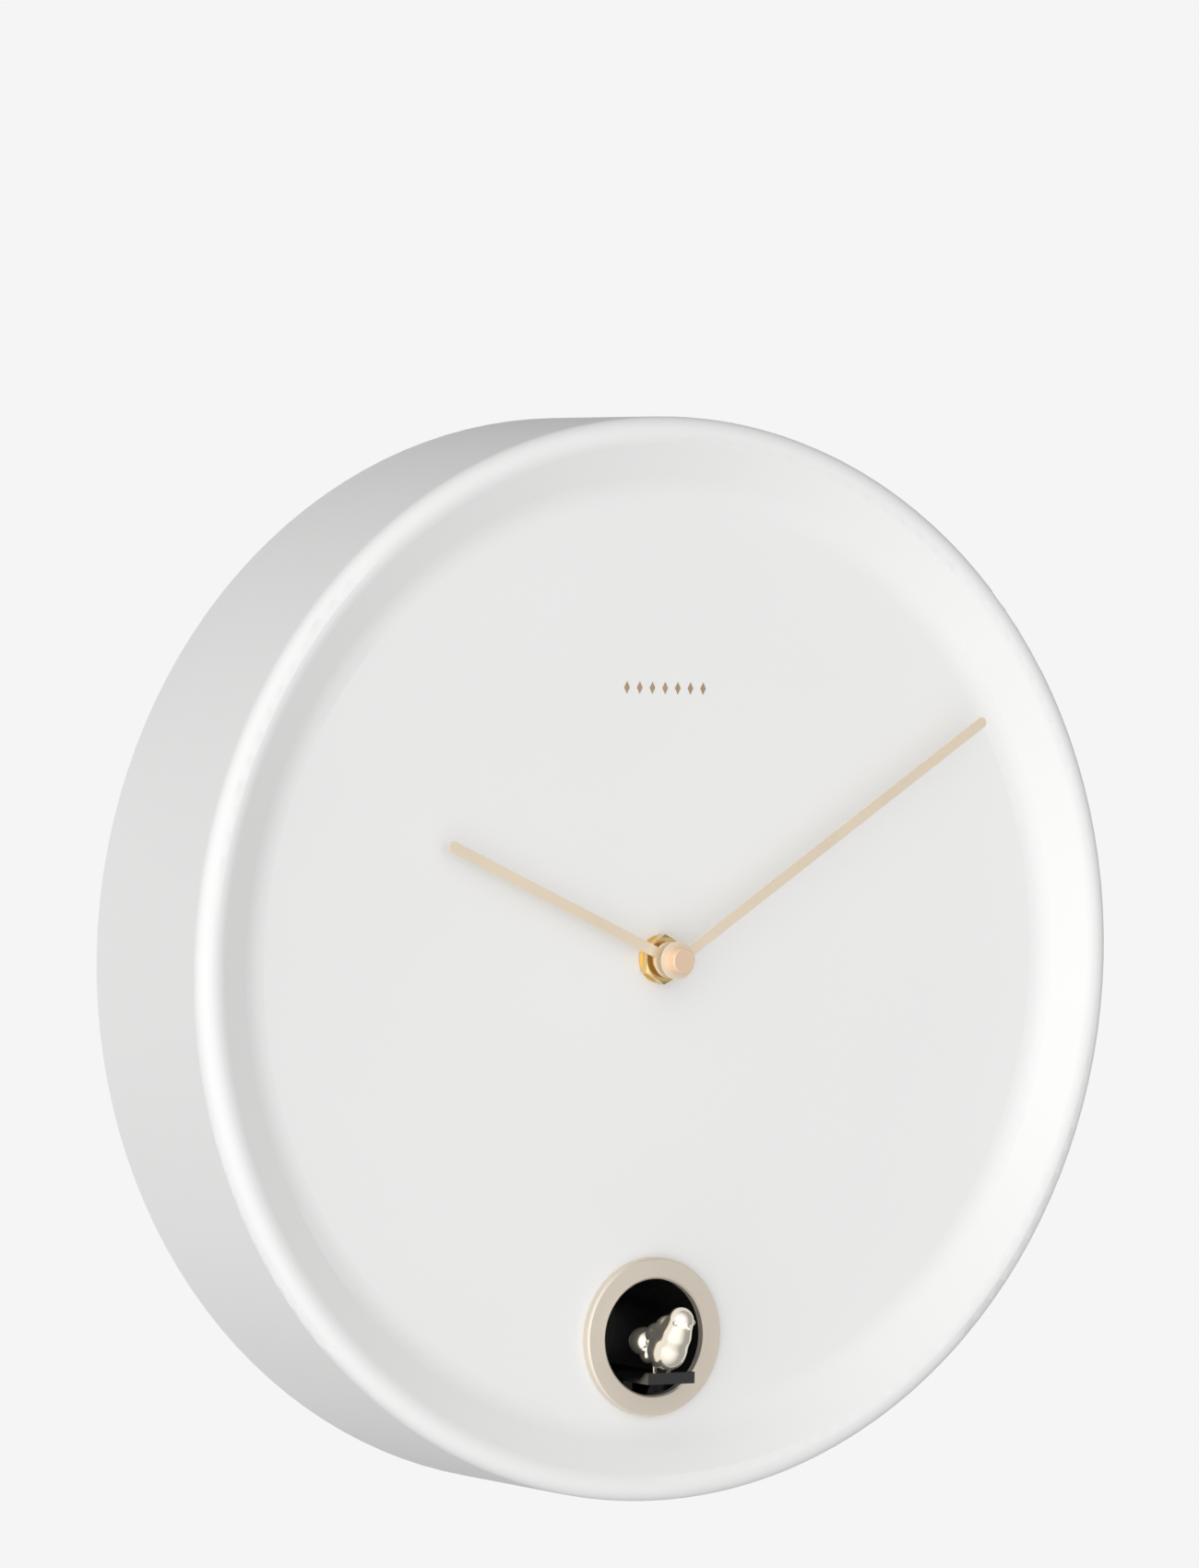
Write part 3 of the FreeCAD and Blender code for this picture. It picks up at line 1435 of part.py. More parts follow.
dims(
    ring_radius=22.0,
    ring_height=2.7,
    ring_bevel=0.5,
    tunnel_back=6.0,
    tunnel_end_sheet=1.5,
    tunnel_front=49.9,
    flange_radius=24.0,
    keel_slot_half=2.0,
    keel_slot_back=12.0,
    keel_slot_front=40.0,
    keel_slot_low=-124.7,
    keel_slot_high=-118.7,
    flange_trim_gap=0.3,
    flange_hole_gap=0.15,
    ledge_gap=0.25,
    ledge_wall_rise=0.8,
    ledge_outer=15.0,
    ledge_inner=6.0,
    ledge_side=8.0,
    ledge_front=39.6,
    ledge_low=-118.9,
    deck_half=7.65,
    deck_back=30.0,
    deck_front=61.4,
    deck_top=-115.9,
    deck_sheet=1.0,
    lip_top=-113.7,
    lip_sheet=1.2,
    gusset_reach=3.6,
    gusset_sheet=0.8,
    weld=0.2,
    keel_half=1.5,
    keel_low=-124.7,
    keel_root=0.3,
    keel_back=32.6,
    keel_front=39.4,
    rack_half=2.0,
    rack_back=24.8,
    rack_front=46.5,
    rack_top=-124.2,
    rack_pitch_line=-127.5,
    drive_module=0.5,
    drive_teeth=12,
    drive_wheel_teeth=28,
    motor_teeth=10,
    drive_z=25.65,
    drive_half=2.2,
    drive_wheel_left=3.0,
    drive_wheel_right=5.4,
    motor_drop=6.5,
    motor_radius=6.0,
    motor_left=9.2,
    motor_right=28.0,
    motor_nose=1.8,
    motor_shaft=0.75,
    motor_shaft_inset=0.3,
    motor_shaft_reach=4.0,
    motor_bore_end=0.2,
    motor_tail=2.0,
    motor_tail_length=1.0,
    motor_pinion_overlap=0.1,
    axle_radius=1.0,
    axle_end=0.8,
    drive_boss_left=-3.4,
    drive_boss_right=6.6,
    frame_left=-5.2,
    frame_right=8.6,
    frame_sheet=1.4,
    frame_low=-142.9,
    frame_high=-123.4,
    frame_back=14.0,
    frame_front=43.0,
    home_switch_back=15.5,
    out_switch_back=31.0,
    end_switch_sheet=5.0,
    end_switch_low=-140.0,
    end_switch_high=-134.0,
    end_switch_length=8.0,
    key_radius=0.8,
    key_length=2.0,
    key_high=-132.5,
    key_inset=2.5,
)

TO_RACK = 90.0
DRIVE_Y = values.rack_pitch_line - values.drive_module * values.drive_teeth / 2
DRIVE_MESH = mesh_distance(values.drive_module, values.drive_wheel_teeth, values.motor_teeth)
MOTOR_Y = DRIVE_Y - values.motor_drop
MOTOR_Z = values.drive_z + math.sqrt(DRIVE_MESH ** 2 - values.motor_drop ** 2)


def porthole_ring():
    """The satin metal ring round the porthole, with a thin bright bevel on both edges."""
    body = new_body("porthole_ring")
    profile = sketch(body, "profile", plane="XZ_Plane")
    front = "dial_face + ring_height"
    outline(profile, [("tunnel_bore", "dial_face"), ("ring_radius", "dial_face"),
                      ("ring_radius", f"{front} - ring_bevel"), ("ring_radius - ring_bevel", front),
                      ("tunnel_bore + ring_bevel", front),
                      ("tunnel_bore", f"{front} - ring_bevel")])
    turned(body, profile)
    keep(body, "porthole_ring", y=values.porthole_y)


def bird_tunnel():
    """The black cup behind the porthole, with the carriage's ledges and its screw flange."""
    y = "porthole_y"
    flange_front = "flange_back + flange_sheet"
    barrel = cylinder("tunnel_barrel", "tunnel_radius", "tunnel_back", "tunnel_front", "0", y)
    flange = cut("tunnel_flange",
                 cylinder("flange_disc", "flange_radius", "flange_back", flange_front, "0", y),
                 box("flange_trim", span("flange_radius"),
                     ("porthole_y - flange_radius - 1", "porthole_y - tunnel_radius - flange_trim_gap"),
                     through("flange_back", flange_front)))
    hollow = cylinder("tunnel_hollow", "tunnel_bore", "tunnel_back + tunnel_end_sheet", "tunnel_front + 1",
                      "0", y)
    pipe = cut("tunnel_pipe", fuse("tunnel_blank", barrel, flange), hollow)
    z = ("tunnel_back", "ledge_front")
    ledges = []
    for side, name in ((-1, "left"), (1, "right")):
        shelf = sorted((side * values.ledge_inner, side * values.ledge_outer))
        wall = sorted((side * values.ledge_side, side * values.ledge_outer))
        ledges.append(box(f"ledge_shelf_{name}", shelf,
                          ("ledge_low", "deck_top - deck_sheet - ledge_gap"), z))
        ledges.append(box(f"ledge_wall_{name}", wall, ("ledge_low", "deck_top + ledge_wall_rise"), z))
    inside = doc.addObject("Part::MultiCommon", "ledges_inside")
    inside.Shapes = [fuse("ledge_blocks", *ledges),
                     cylinder("ledge_limit", "(tunnel_bore + tunnel_radius) / 2", *z, "0", y)]
    slot = box("keel_slot", span("keel_slot_half"), ("keel_slot_low", "keel_slot_high"),
               ("keel_slot_back", "keel_slot_front"))
    holes = [cylinder(f"flange_hole_{index}", "screw_radius + flange_hole_gap",
                      *through("flange_back", flange_front), *place)
             for index, place in enumerate(flange_screw_places())]
    keep(cut("bird_tunnel", fuse("tunnel_with_ledges", pipe, inside), slot, *holes), "bird_tunnel")


def frame_screws(name, places, seat, length):
    """Screws from the back at the given places, as one node."""
    pieces = [screw(f"{name}_{index}", x, y, seat, length) for index, (x, y) in enumerate(places)]
    keep(group(name, *pieces), name)


def tunnel_screws():
    """The screws through the tunnel's flange into the dial's bosses."""
    frame_screws("tunnel_screws", flange_screw_places(), "flange_back", "tunnel_screw_length")


def wedge(name, x, y, z_low, z_high):
    """A block whose extent in z runs from z_low at its lower side to z_high at its upper side."""
    obj = doc.addObject("Part::Wedge", name)
    obj.Xmin, obj.Xmax = x
    obj.X2min, obj.X2max = x
    obj.Ymin, obj.Ymax = y
    obj.Zmin, obj.Zmax = z_low
    obj.Z2min, obj.Z2max = z_high
    return obj


def rack_tooth(index):
    """One tooth of the rack, pointing down across the bar."""
    module = values.drive_module
    centre = values.drive_z + (index + 0.5) * math.pi * module
    root_half = values.tooth_root_share * math.pi * module / 2
    tip_half = values.tooth_tip_share * math.pi * module / 2
    return wedge(f"rack_tooth_{index}", (-values.rack_half, values.rack_half),
                 (values.rack_pitch_line - module, values.rack_pitch_line + 1.6 * module),
                 (centre - tip_half, centre + tip_half), (centre - root_half, centre + root_half))


def carriage():
    """The bird's black tray with its front lip, gussets, keel and toothed rack."""
    across = span("deck_half")
    weld = values.weld
    bottom = "deck_top - deck_sheet"
    deck = box("deck", across, (bottom, "deck_top"), ("deck_back", "deck_front"))
    lip = box("lip", across, (bottom, "lip_top"), ("deck_front - lip_sheet", "deck_front"))
    lip_back = values.deck_front - values.lip_sheet
    gussets = []
    for side in (-1, 1):
        x = sorted((side * values.deck_half, side * (values.deck_half - values.gusset_sheet)))
        gussets.append(wedge(f"gusset_{side + 1}", x, (values.deck_top - weld, values.lip_top),
                             (lip_back - values.gusset_reach, lip_back + weld),
                             (lip_back - weld, lip_back + weld)))
    keel = box("keel", span("keel_half"), ("keel_low", f"{bottom} + keel_root"), ("keel_back", "keel_front"))
    bar = box("rack_bar", span("rack_half"), ("rack_pitch_line + 1.25 * drive_module", "rack_top"),
              ("rack_back", "rack_front"))
    count = int((values.rack_front - values.drive_z) / (math.pi * values.drive_module))
    teeth = [rack_tooth(index) for index in range(count)]
    keep(fuse("carriage", deck, lip, *gussets, keel, bar, *teeth), "carriage")


dims(
    belly_half_width=4.9,
    belly_half_height=5.5,
    belly_half_depth=5.3,
    belly_y=-107.8,
    belly_z=59.6,
    head_radius=3.55,
    head_y=-98.9,
    head_z=65.3,
    rump_half_width=3.6,
    rump_half_height=3.9,
    rump_half_depth=4.0,
    rump_y=-106.3,
    rump_z=46.4,
    vent_half_width=2.4,
    vent_half_height=2.7,
    vent_half_depth=2.6,
    vent_y=-110.0,
    vent_z=48.3,
    back_radius=3.5,
    back_y=-104.4,
    back_z=53.6,
    nape_back_radius=3.45,
    nape_head_radius=3.43,
    waist_radius=3.3,
    waist_front_radius=4.4,
    chest_radius=4.5,
    throat_radius=3.45,
    beak_radius=1.3,
    beak_tip_radius=0.3,
    beak_root=0.8,
    beak_dip=0.6,
    beak_length=2.2,
    beak_drop=1.4,
    leg_radius=0.8,
    leg_x=2.2,
    leg_z=56.1,
)


def taper(name, start, start_radius, end, end_radius):
    """A round limb that tapers from one point to another."""
    way = Vector(*end) - Vector(*start)
    obj = doc.addObject("Part::Cone", name)
    bind(obj, Radius1=start_radius, Radius2=end_radius)
    obj.Height = way.Length
    obj.Placement = Placement(Vector(*start), Rotation(Vector(0, 0, 1), way))
    return obj


def bird():
    """A plump bird that leans out over the tray: belly, head, beak, back, rump and two legs."""
    head_at = (0, values.head_y, values.head_z)
    belly_at = (0, values.belly_y, values.belly_z)
    rump_at = (0, values.rump_y, values.rump_z)
    back_at = (0, values.back_y, values.back_z)
    beak_at = (0, values.head_y - values.beak_drop, values.head_z + values.head_radius - values.beak_root)
    beak_end = (0, beak_at[1] - values.beak_dip, beak_at[2] + values.beak_length)
    pieces = [
        egg("bird_belly", "belly_half_width", "belly_half_height", "belly_half_depth", "0", "belly_y",
            "belly_z"),
        egg("bird_head", "head_radius", "head_radius", "head_radius", "0", "head_y", "head_z"),
        egg("bird_rump", "rump_half_width", "rump_half_height", "rump_half_depth", "0", "rump_y", "rump_z"),
        egg("bird_vent", "vent_half_width", "vent_half_height", "vent_half_depth", "0", "vent_y", "vent_z"),
        egg("bird_back", "back_radius", "back_radius", "back_radius", "0", "back_y", "back_z"),
        taper("bird_nape", back_at, "nape_back_radius", head_at, "nape_head_radius"),
        taper("bird_chest", belly_at, "chest_radius", head_at, "throat_radius"),
        taper("bird_waist", rump_at, "waist_radius", belly_at, "waist_front_radius"),
        taper("bird_beak", beak_at, "beak_radius", beak_end, "beak_tip_radius"),
    ]
    for side in (-1, 1):
        pieces.append(upright(cylinder(f"bird_leg_{side + 1}", "leg_radius", "0", "belly_y - deck_top"),
                              side * values.leg_x, values.belly_y, values.leg_z))
    keep(fuse("bird", *pieces), "bird")


def gearbox_frame():
    """The bracket that carries the carriage's gear and motor, screwed to the back of the dial."""
    y = ("frame_low", "frame_high")
    z = ("frame_back", "frame_front")
    left = box("frame_cheek_left", ("frame_left", "frame_left + frame_sheet"), y, z)
    right = box("frame_cheek_right", ("frame_right - frame_sheet", "frame_right"), y, z)
    floor = box("frame_floor", ("frame_left", "frame_right"), ("frame_low", "frame_low + frame_sheet"), z)
    ear_z = ("frame_ear_back", "frame_ear_back + frame_ear_sheet")
    ears = [box(f"frame_ear_{name}", x, span("ear_half", "frame_screw_y"), ear_z)
            for name, x in (("left", ("frame_left_screw_x - ear_reach", "frame_left + frame_sheet")),
                            ("right", ("frame_right - frame_sheet", "frame_right_screw_x + ear_reach")))]
    holes = [cylinder(f"ear_hole_{index}", "screw_radius + flange_hole_gap", *through(*ear_z), *place)
             for index, place in enumerate(frame_screw_places())]
    width = "frame_right - frame_left + 2"
    holes.append(along_x(cylinder("axle_hole", f"axle_radius + {OVERLAP}", "0", width),
                         values.frame_left - 1, DRIVE_Y, values.drive_z))
    holes.append(along_x(cylinder("motor_hole", "motor_nose", "0", "frame_right"), 1, MOTOR_Y, MOTOR_Z))
    keep(cut("gearbox_frame", fuse("frame_blank", left, right, floor, *ears), *holes), "gearbox_frame")


def gearbox_screws():
    """The screws through the frame's ears into the dial's bosses."""
    frame_screws("gearbox_screws", frame_screw_places(), "frame_ear_back", "gearbox_screw_length")


def gear_axle():
    """The steel axle across the frame that the drive gear turns on."""
    keep(along_x_piece("gear_axle", "axle_radius", "frame_right - frame_left + 2 * axle_end",
                       values.frame_left - values.axle_end, DRIVE_Y, values.drive_z), "gear_axle")


def x_axis_turn():
    """The turn that lays a gear's own axis along x."""
    return Rotation(Vector(0, 1, 0), 90)


def drive_gear():
    """The gear between motor and rack: its pinion moves the rack and its wheel is turned by the motor."""
    body = new_body("drive_gear")
    toward_motor = 180 + math.degrees(math.asin(values.motor_drop / DRIVE_MESH))
    add_rod(body, "boss", "drive_half", "drive_boss_left", "drive_boss_right")
    add_gear(body, "pinion", "drive_module", "drive_teeth", *span("drive_half"), TO_RACK)
    add_gear(body, "wheel", "drive_module", "drive_wheel_teeth", "drive_wheel_left", "drive_wheel_right",
             toward_motor)
    bore(body, "axle_bore", "axle_radius + pivot_gap", "drive_boss_left", "drive_boss_right")
    keep(body, "drive_gear", 0, DRIVE_Y, values.drive_z, x_axis_turn())


def motor_pinion():
    """The motor's shaft with its pinion."""
    body = new_body("motor_pinion")
    toward_gear = math.degrees(math.asin(values.motor_drop / DRIVE_MESH))
    add_rod(body, "shaft", "motor_shaft", "drive_wheel_left - motor_shaft_inset",
            "motor_left + motor_shaft_reach")
    add_gear(body, "pinion", "drive_module", "motor_teeth", "drive_wheel_left - motor_pinion_overlap",
             "drive_wheel_right + motor_pinion_overlap", facing_gap(toward_gear, values.motor_teeth))
    keep(body, "motor_pinion", 0, MOTOR_Y, MOTOR_Z, x_axis_turn())


def cuckoo_motor():
    """The can motor, with its nose through the frame."""
    can = cylinder("motor_can", "motor_radius", "motor_left", "motor_right")
    nose = cylinder("motor_nose_round", "motor_nose", "frame_right - frame_sheet", "motor_left")
    tail = cylinder("motor_tail_round", "motor_tail", "motor_right", "motor_right + motor_tail_length")
    hole = cylinder("motor_bore", "motor_shaft + pivot_gap", "0",
                    "motor_left + motor_shaft_reach + motor_bore_end")
    motor = cut("motor_drawn", fuse("motor_blank", can, nose, tail), hole)
    keep(motor, "cuckoo_motor", 0, MOTOR_Y, MOTOR_Z, x_axis_turn())


def end_switches():
    """Two small switches on the frame that tell the board when the bird is out or in."""
    pieces = []
    for name in ("home_switch", "out_switch"):
        block = box(f"{name}_block", ("frame_left - end_switch_sheet", "frame_left"),
                    ("end_switch_low", "end_switch_high"),
                    (f"{name}_back", f"{name}_back + end_switch_length"))
        key = upright(cylinder(f"{name}_key", "key_radius", "0", "key_length"),
                      values.frame_left - values.end_switch_sheet / 2, values.key_high,
                      getattr(values, f"{name}_back") + values.key_inset)
        pieces.append(fuse(name, block, key))
    keep(group("end_switches", *pieces), "end_switches")


# ---------------------------------------------------------------- dial ornament

dims(
    ornament_y=75.0,
    ornament_sheet=0.15,
    ornament_pitch=4.2,
    ornament_count=7,
    lozenge_half_width=0.9,
    lozenge_half_height=1.7,
)


def dial_ornament():
    """A row of small gold lozenges under twelve."""
    body_parts = []
    count = int(values.ornament_count)
    for index in range(count):
        x = (index - (count - 1) / 2) * values.ornament_pitch
        body = new_body(f"lozenge_{index}")
        sk = sketch(body, "outline", "dial_face")
        outline(sk, [(f"{x} - lozenge_half_width", "ornament_y"), (x, "ornament_y - lozenge_half_height"),
                     (f"{x} + lozenge_half_width", "ornament_y"), (x, "ornament_y + lozenge_half_height")])
        pad(body, sk, "ornament_sheet")
        body_parts.append(body)
    keep(group("dial_ornament", *body_parts), "dial_ornament")


# ---------------------------------------------------------------- build and write

PIECES = (
    case_shell, rear_cover, cover_screws, hanger_plate, hanger_screws, dial_ornament,
    bay_cells, battery_contacts, battery_door,
    speaker_basket, speaker_cone, sound_board, sound_board_chips, board_screws,
    switch_bodies, mode_slider, test_button,
    movement_front_case, movement_rear_case, bridge_plate, neck_bushing, dial_gasket, neck_washer, neck_nut,
    minute_arbor, clutch_spring, hour_wheel, minute_wheel, setting_knob, centre_wheel, going_train, rotor,
    stator, coil, movement_board, quartz_crystal, movement_cell, movement_contacts,
    hands, hand_cap,
    porthole_ring, bird_tunnel, tunnel_screws, carriage, bird,
    gearbox_frame, gearbox_screws, gear_axle, drive_gear, motor_pinion, cuckoo_motor, end_switches,
)

for make in PIECES:
    make()
doc.recompute()

for obj in doc.Objects:
    if "Invalid" in obj.State or "Error" in obj.State:
        raise RuntimeError(f"{obj.Name} failed: {obj.State}")
for node in nodes:
    if node.Shape.isNull() or not node.Shape.isValid() or not node.Shape.Solids:
        raise RuntimeError(f"{node.Label} has no valid solid")

os.makedirs("parts", exist_ok=True)
for node in nodes:
    node.Shape.exportStep(f"parts/{node.Label}.step")
print(f"{len(nodes)} pieces")
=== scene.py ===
import json
import math

import bmesh
import bpy
import numpy as np
from mathutils import Matrix, Vector


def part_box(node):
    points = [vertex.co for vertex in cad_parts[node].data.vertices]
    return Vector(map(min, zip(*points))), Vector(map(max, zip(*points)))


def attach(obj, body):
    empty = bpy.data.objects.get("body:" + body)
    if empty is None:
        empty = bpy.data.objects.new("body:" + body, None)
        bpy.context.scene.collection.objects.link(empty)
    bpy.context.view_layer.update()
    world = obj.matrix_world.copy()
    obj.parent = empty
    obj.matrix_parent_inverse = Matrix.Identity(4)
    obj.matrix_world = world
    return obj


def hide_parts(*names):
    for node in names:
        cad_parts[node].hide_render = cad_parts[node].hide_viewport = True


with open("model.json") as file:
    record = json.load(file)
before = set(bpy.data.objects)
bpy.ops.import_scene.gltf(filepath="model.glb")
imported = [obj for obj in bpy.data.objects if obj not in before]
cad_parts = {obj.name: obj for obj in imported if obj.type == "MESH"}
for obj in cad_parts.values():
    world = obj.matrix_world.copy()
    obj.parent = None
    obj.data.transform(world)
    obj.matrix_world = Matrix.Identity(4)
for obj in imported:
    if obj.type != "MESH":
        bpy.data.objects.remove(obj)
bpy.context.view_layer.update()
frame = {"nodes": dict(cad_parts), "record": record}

MM = 0.001


# ---------------------------------------------------------------- camera

CAMERA_AZIMUTH = math.radians(32.93)
CAMERA_PITCH = math.radians(-1.15)
CAMERA_ROLL = math.radians(1.33)
CAMERA_PLACE = Vector((-1.2218, -1.9043, 0.0926))
CAMERA_LENS = 184.3
SENSOR_WIDTH = 36.0
NEAR_CLIP = 0.05


def make_camera():
    """A long lens, to the left of the clock and a little above its middle."""
    forward = Vector((math.sin(CAMERA_AZIMUTH) * math.cos(CAMERA_PITCH),
                      math.cos(CAMERA_AZIMUTH) * math.cos(CAMERA_PITCH),
                      math.sin(CAMERA_PITCH)))
    level = Vector((math.cos(CAMERA_AZIMUTH), -math.sin(CAMERA_AZIMUTH), 0.0))
    above = level.cross(forward)
    right = level * math.cos(CAMERA_ROLL) + above * math.sin(CAMERA_ROLL)
    up = above * math.cos(CAMERA_ROLL) - level * math.sin(CAMERA_ROLL)
    turn = Matrix((right, up, -forward)).transposed().to_4x4()
    data = bpy.data.cameras.new("camera")
    data.lens = CAMERA_LENS
    data.sensor_width = SENSOR_WIDTH
    data.sensor_fit = "AUTO"
    data.clip_start = NEAR_CLIP
    camera = bpy.data.objects.new("camera", data)
    camera.matrix_world = Matrix.Translation(CAMERA_PLACE) @ turn
    bpy.context.scene.collection.objects.link(camera)
    bpy.context.scene.camera = camera


# ---------------------------------------------------------------- studio

BACKDROP_TONE = 0.913
FLOOR_DROP = 0.30
FLOOR_REACH = 6.0
FLOOR_BEND = 3.0
FLOOR_FLAT_SHARE = 0.6
FLOOR_RINGS = 24
FLOOR_SEGMENTS = 64
WINDOW_SIDE = Vector((-0.72, -0.70, 0.0))
WINDOW_LEVEL = 1.52
SHADE_LEVEL = 0.33
SOFTBOX_SIZE = 0.9
FRONT_BOX_PLACE = (-0.45, -2.5, 0.30)
FRONT_BOX_POWER = 3.0
BACK_BOX_PLACE = (0.5, 2.6, -0.5)
BACK_BOX_POWER = 30.0


def emission_material(name, tone):
    """A plain grey that glows evenly, so that no shadow falls on it."""
    material = bpy.data.materials.new(name)
    material.use_nodes = True
    tree = material.node_tree
    tree.nodes.clear()
    glow = tree.nodes.new("ShaderNodeEmission")
    glow.inputs["Color"].default_value = (tone, tone, tone, 1.0)
    output = tree.nodes.new("ShaderNodeOutputMaterial")
    tree.links.new(glow.outputs["Emission"], output.inputs["Surface"])
    return material


def make_floor():
    """A pale floor that runs out and up on every side, seen only by the camera."""
    mesh = bmesh.new()
    angles = [2 * math.pi * segment / FLOOR_SEGMENTS for segment in range(FLOOR_SEGMENTS)]
    rows = []
    for ring in range(1, FLOOR_RINGS + 1):
        share = ring / FLOOR_RINGS
        radius = FLOOR_REACH * share
        past_flat = max(0.0, share - FLOOR_FLAT_SHARE) / (1.0 - FLOOR_FLAT_SHARE)
        height = FLOOR_BEND * past_flat ** 2 - FLOOR_DROP
        rows.append([mesh.verts.new((radius * math.cos(angle), radius * math.sin(angle), height))
                     for angle in angles])
    for inner, outer in zip(rows, rows[1:]):
        for segment in range(FLOOR_SEGMENTS):
            following = (segment + 1) % FLOOR_SEGMENTS
            mesh.faces.new((inner[segment], outer[segment], outer[following], inner[following]))
    mesh.faces.new(rows[0])
    data = bpy.data.meshes.new("floor")
    mesh.to_mesh(data)
    mesh.free()
    floor = bpy.data.objects.new("floor", data)
    bpy.context.scene.collection.objects.link(floor)
    data.materials.append(emission_material("floor_pale", BACKDROP_TONE))
    floor.visible_diffuse = False
    floor.visible_glossy = False
    floor.visible_shadow = False


def softbox(name, place, power):
    """A square area light that faces the clock and is not itself in the picture."""
    data = bpy.data.lights.new(name, "AREA")
    data.size = SOFTBOX_SIZE
    data.energy = power
    light = bpy.data.objects.new(name, data)
    place = Vector(place)
    light.matrix_world = Matrix.Translation(place) @ place.to_track_quat("Z", "Y").to_matrix().to_4x4()
    light.visible_camera = False
    bpy.context.scene.collection.objects.link(light)


def make_world():
    """Daylight from one side: brightest from the front left, dim on the far side."""
    world = bpy.data.worlds.new("studio")
    world.use_nodes = True
    tree = world.node_tree
    background = tree.nodes["Background"]
    background.inputs["Color"].default_value = (1.0, 1.0, 1.0, 1.0)
    place = tree.nodes.new("ShaderNodeTexCoord")
    facing = tree.nodes.new("ShaderNodeVectorMath")
    facing.operation = "DOT_PRODUCT"
    facing.inputs[1].default_value = WINDOW_SIDE.normalized()
    tree.links.new(place.outputs["Generated"], facing.inputs[0])
    level = tree.nodes.new("ShaderNodeMapRange")
    level.inputs["From Min"].default_value = 0.0
    level.inputs["From Max"].default_value = 1.0
    level.inputs["To Min"].default_value = SHADE_LEVEL
    level.inputs["To Max"].default_value = WINDOW_LEVEL
    tree.links.new(facing.outputs["Value"], level.inputs["Value"])
    tree.links.new(level.outputs["Result"], background.inputs["Strength"])
    bpy.context.scene.world = world


def make_studio():
    """The world's light, the floor, and a soft light in front of and behind the clock."""
    bpy.context.scene.view_settings.view_transform = "Standard"
    make_world()
    make_floor()
    softbox("front", FRONT_BOX_PLACE, FRONT_BOX_POWER)
    softbox("back", BACK_BOX_PLACE, BACK_BOX_POWER)


# ---------------------------------------------------------------- materials

NOISE_LOW = 0.3
NOISE_HIGH = 0.7
PLASTIC_DRIFT_SCALE = 9.0
PLASTIC_ROUGH_SPREAD = 0.03
PLASTIC_BUMP = 0.3
COAT_ROUGHNESS = 0.15
METAL_DRIFT_SCALE = 60.0
METAL_ROUGH_SHARE = 0.2
METAL_BUMP = 0.2


def new_material(name):
    """A node material with a Principled shader; returns the material, its tree and the shader."""
    material = bpy.data.materials.new(name)
    material.use_nodes = True
    tree = material.node_tree
    return material, tree, tree.nodes["Principled BSDF"]


def noise(tree, scale, detail):
    """A noise texture on the object's own coordinates."""
    place = tree.nodes.new("ShaderNodeTexCoord")
    texture = tree.nodes.new("ShaderNodeTexNoise")
    texture.inputs["Scale"].default_value = scale
    texture.inputs["Detail"].default_value = detail
    tree.links.new(place.outputs["Object"], texture.inputs["Vector"])
    return texture


def spread(tree, source, low, high):
    """Map the middle range of a texture onto low..high."""
    node = tree.nodes.new("ShaderNodeMapRange")
    node.inputs["From Min"].default_value = NOISE_LOW
    node.inputs["From Max"].default_value = NOISE_HIGH
    node.inputs["To Min"].default_value = low
    node.inputs["To Max"].default_value = high
    tree.links.new(source, node.inputs["Value"])
    return node.outputs["Result"]


def tint(tree, source, dark, light):
    """A colour that varies between two tones with a texture."""
    ramp = tree.nodes.new("ShaderNodeValToRGB")
    first, last = ramp.color_ramp.elements
    first.position = NOISE_LOW
    first.color = (*dark, 1.0)
    last.position = NOISE_HIGH
    last.color = (*light, 1.0)
    tree.links.new(source, ramp.inputs["Fac"])
    return ramp.outputs["Color"]


def bump(tree, shader, source, strength, distance):
    """Raise the surface by a texture; distance is the height of its grain."""
    node = tree.nodes.new("ShaderNodeBump")
    node.inputs["Strength"].default_value = strength
    node.inputs["Distance"].default_value = distance
    tree.links.new(source, node.inputs["Height"])
    tree.links.new(node.outputs["Normal"], shader.inputs["Normal"])


def plastic(name, dark, light, rough, grain, depth, coat=0.0):
    """Moulded plastic: a faint tone drift, a fine grain and roughness that varies a little."""
    material, tree, shader = new_material(name)
    drift = noise(tree, PLASTIC_DRIFT_SCALE, 3.0)
    tree.links.new(tint(tree, drift.outputs["Fac"], dark, light), shader.inputs["Base Color"])
    fine = noise(tree, grain, 2.0)
    roughness = spread(tree, fine.outputs["Fac"], rough - PLASTIC_ROUGH_SPREAD, rough + PLASTIC_ROUGH_SPREAD)
    tree.links.new(roughness, shader.inputs["Roughness"])
    bump(tree, shader, fine.outputs["Fac"], PLASTIC_BUMP, depth)
    shader.inputs["Coat Weight"].default_value = coat
    shader.inputs["Coat Roughness"].default_value = COAT_ROUGHNESS
    return material


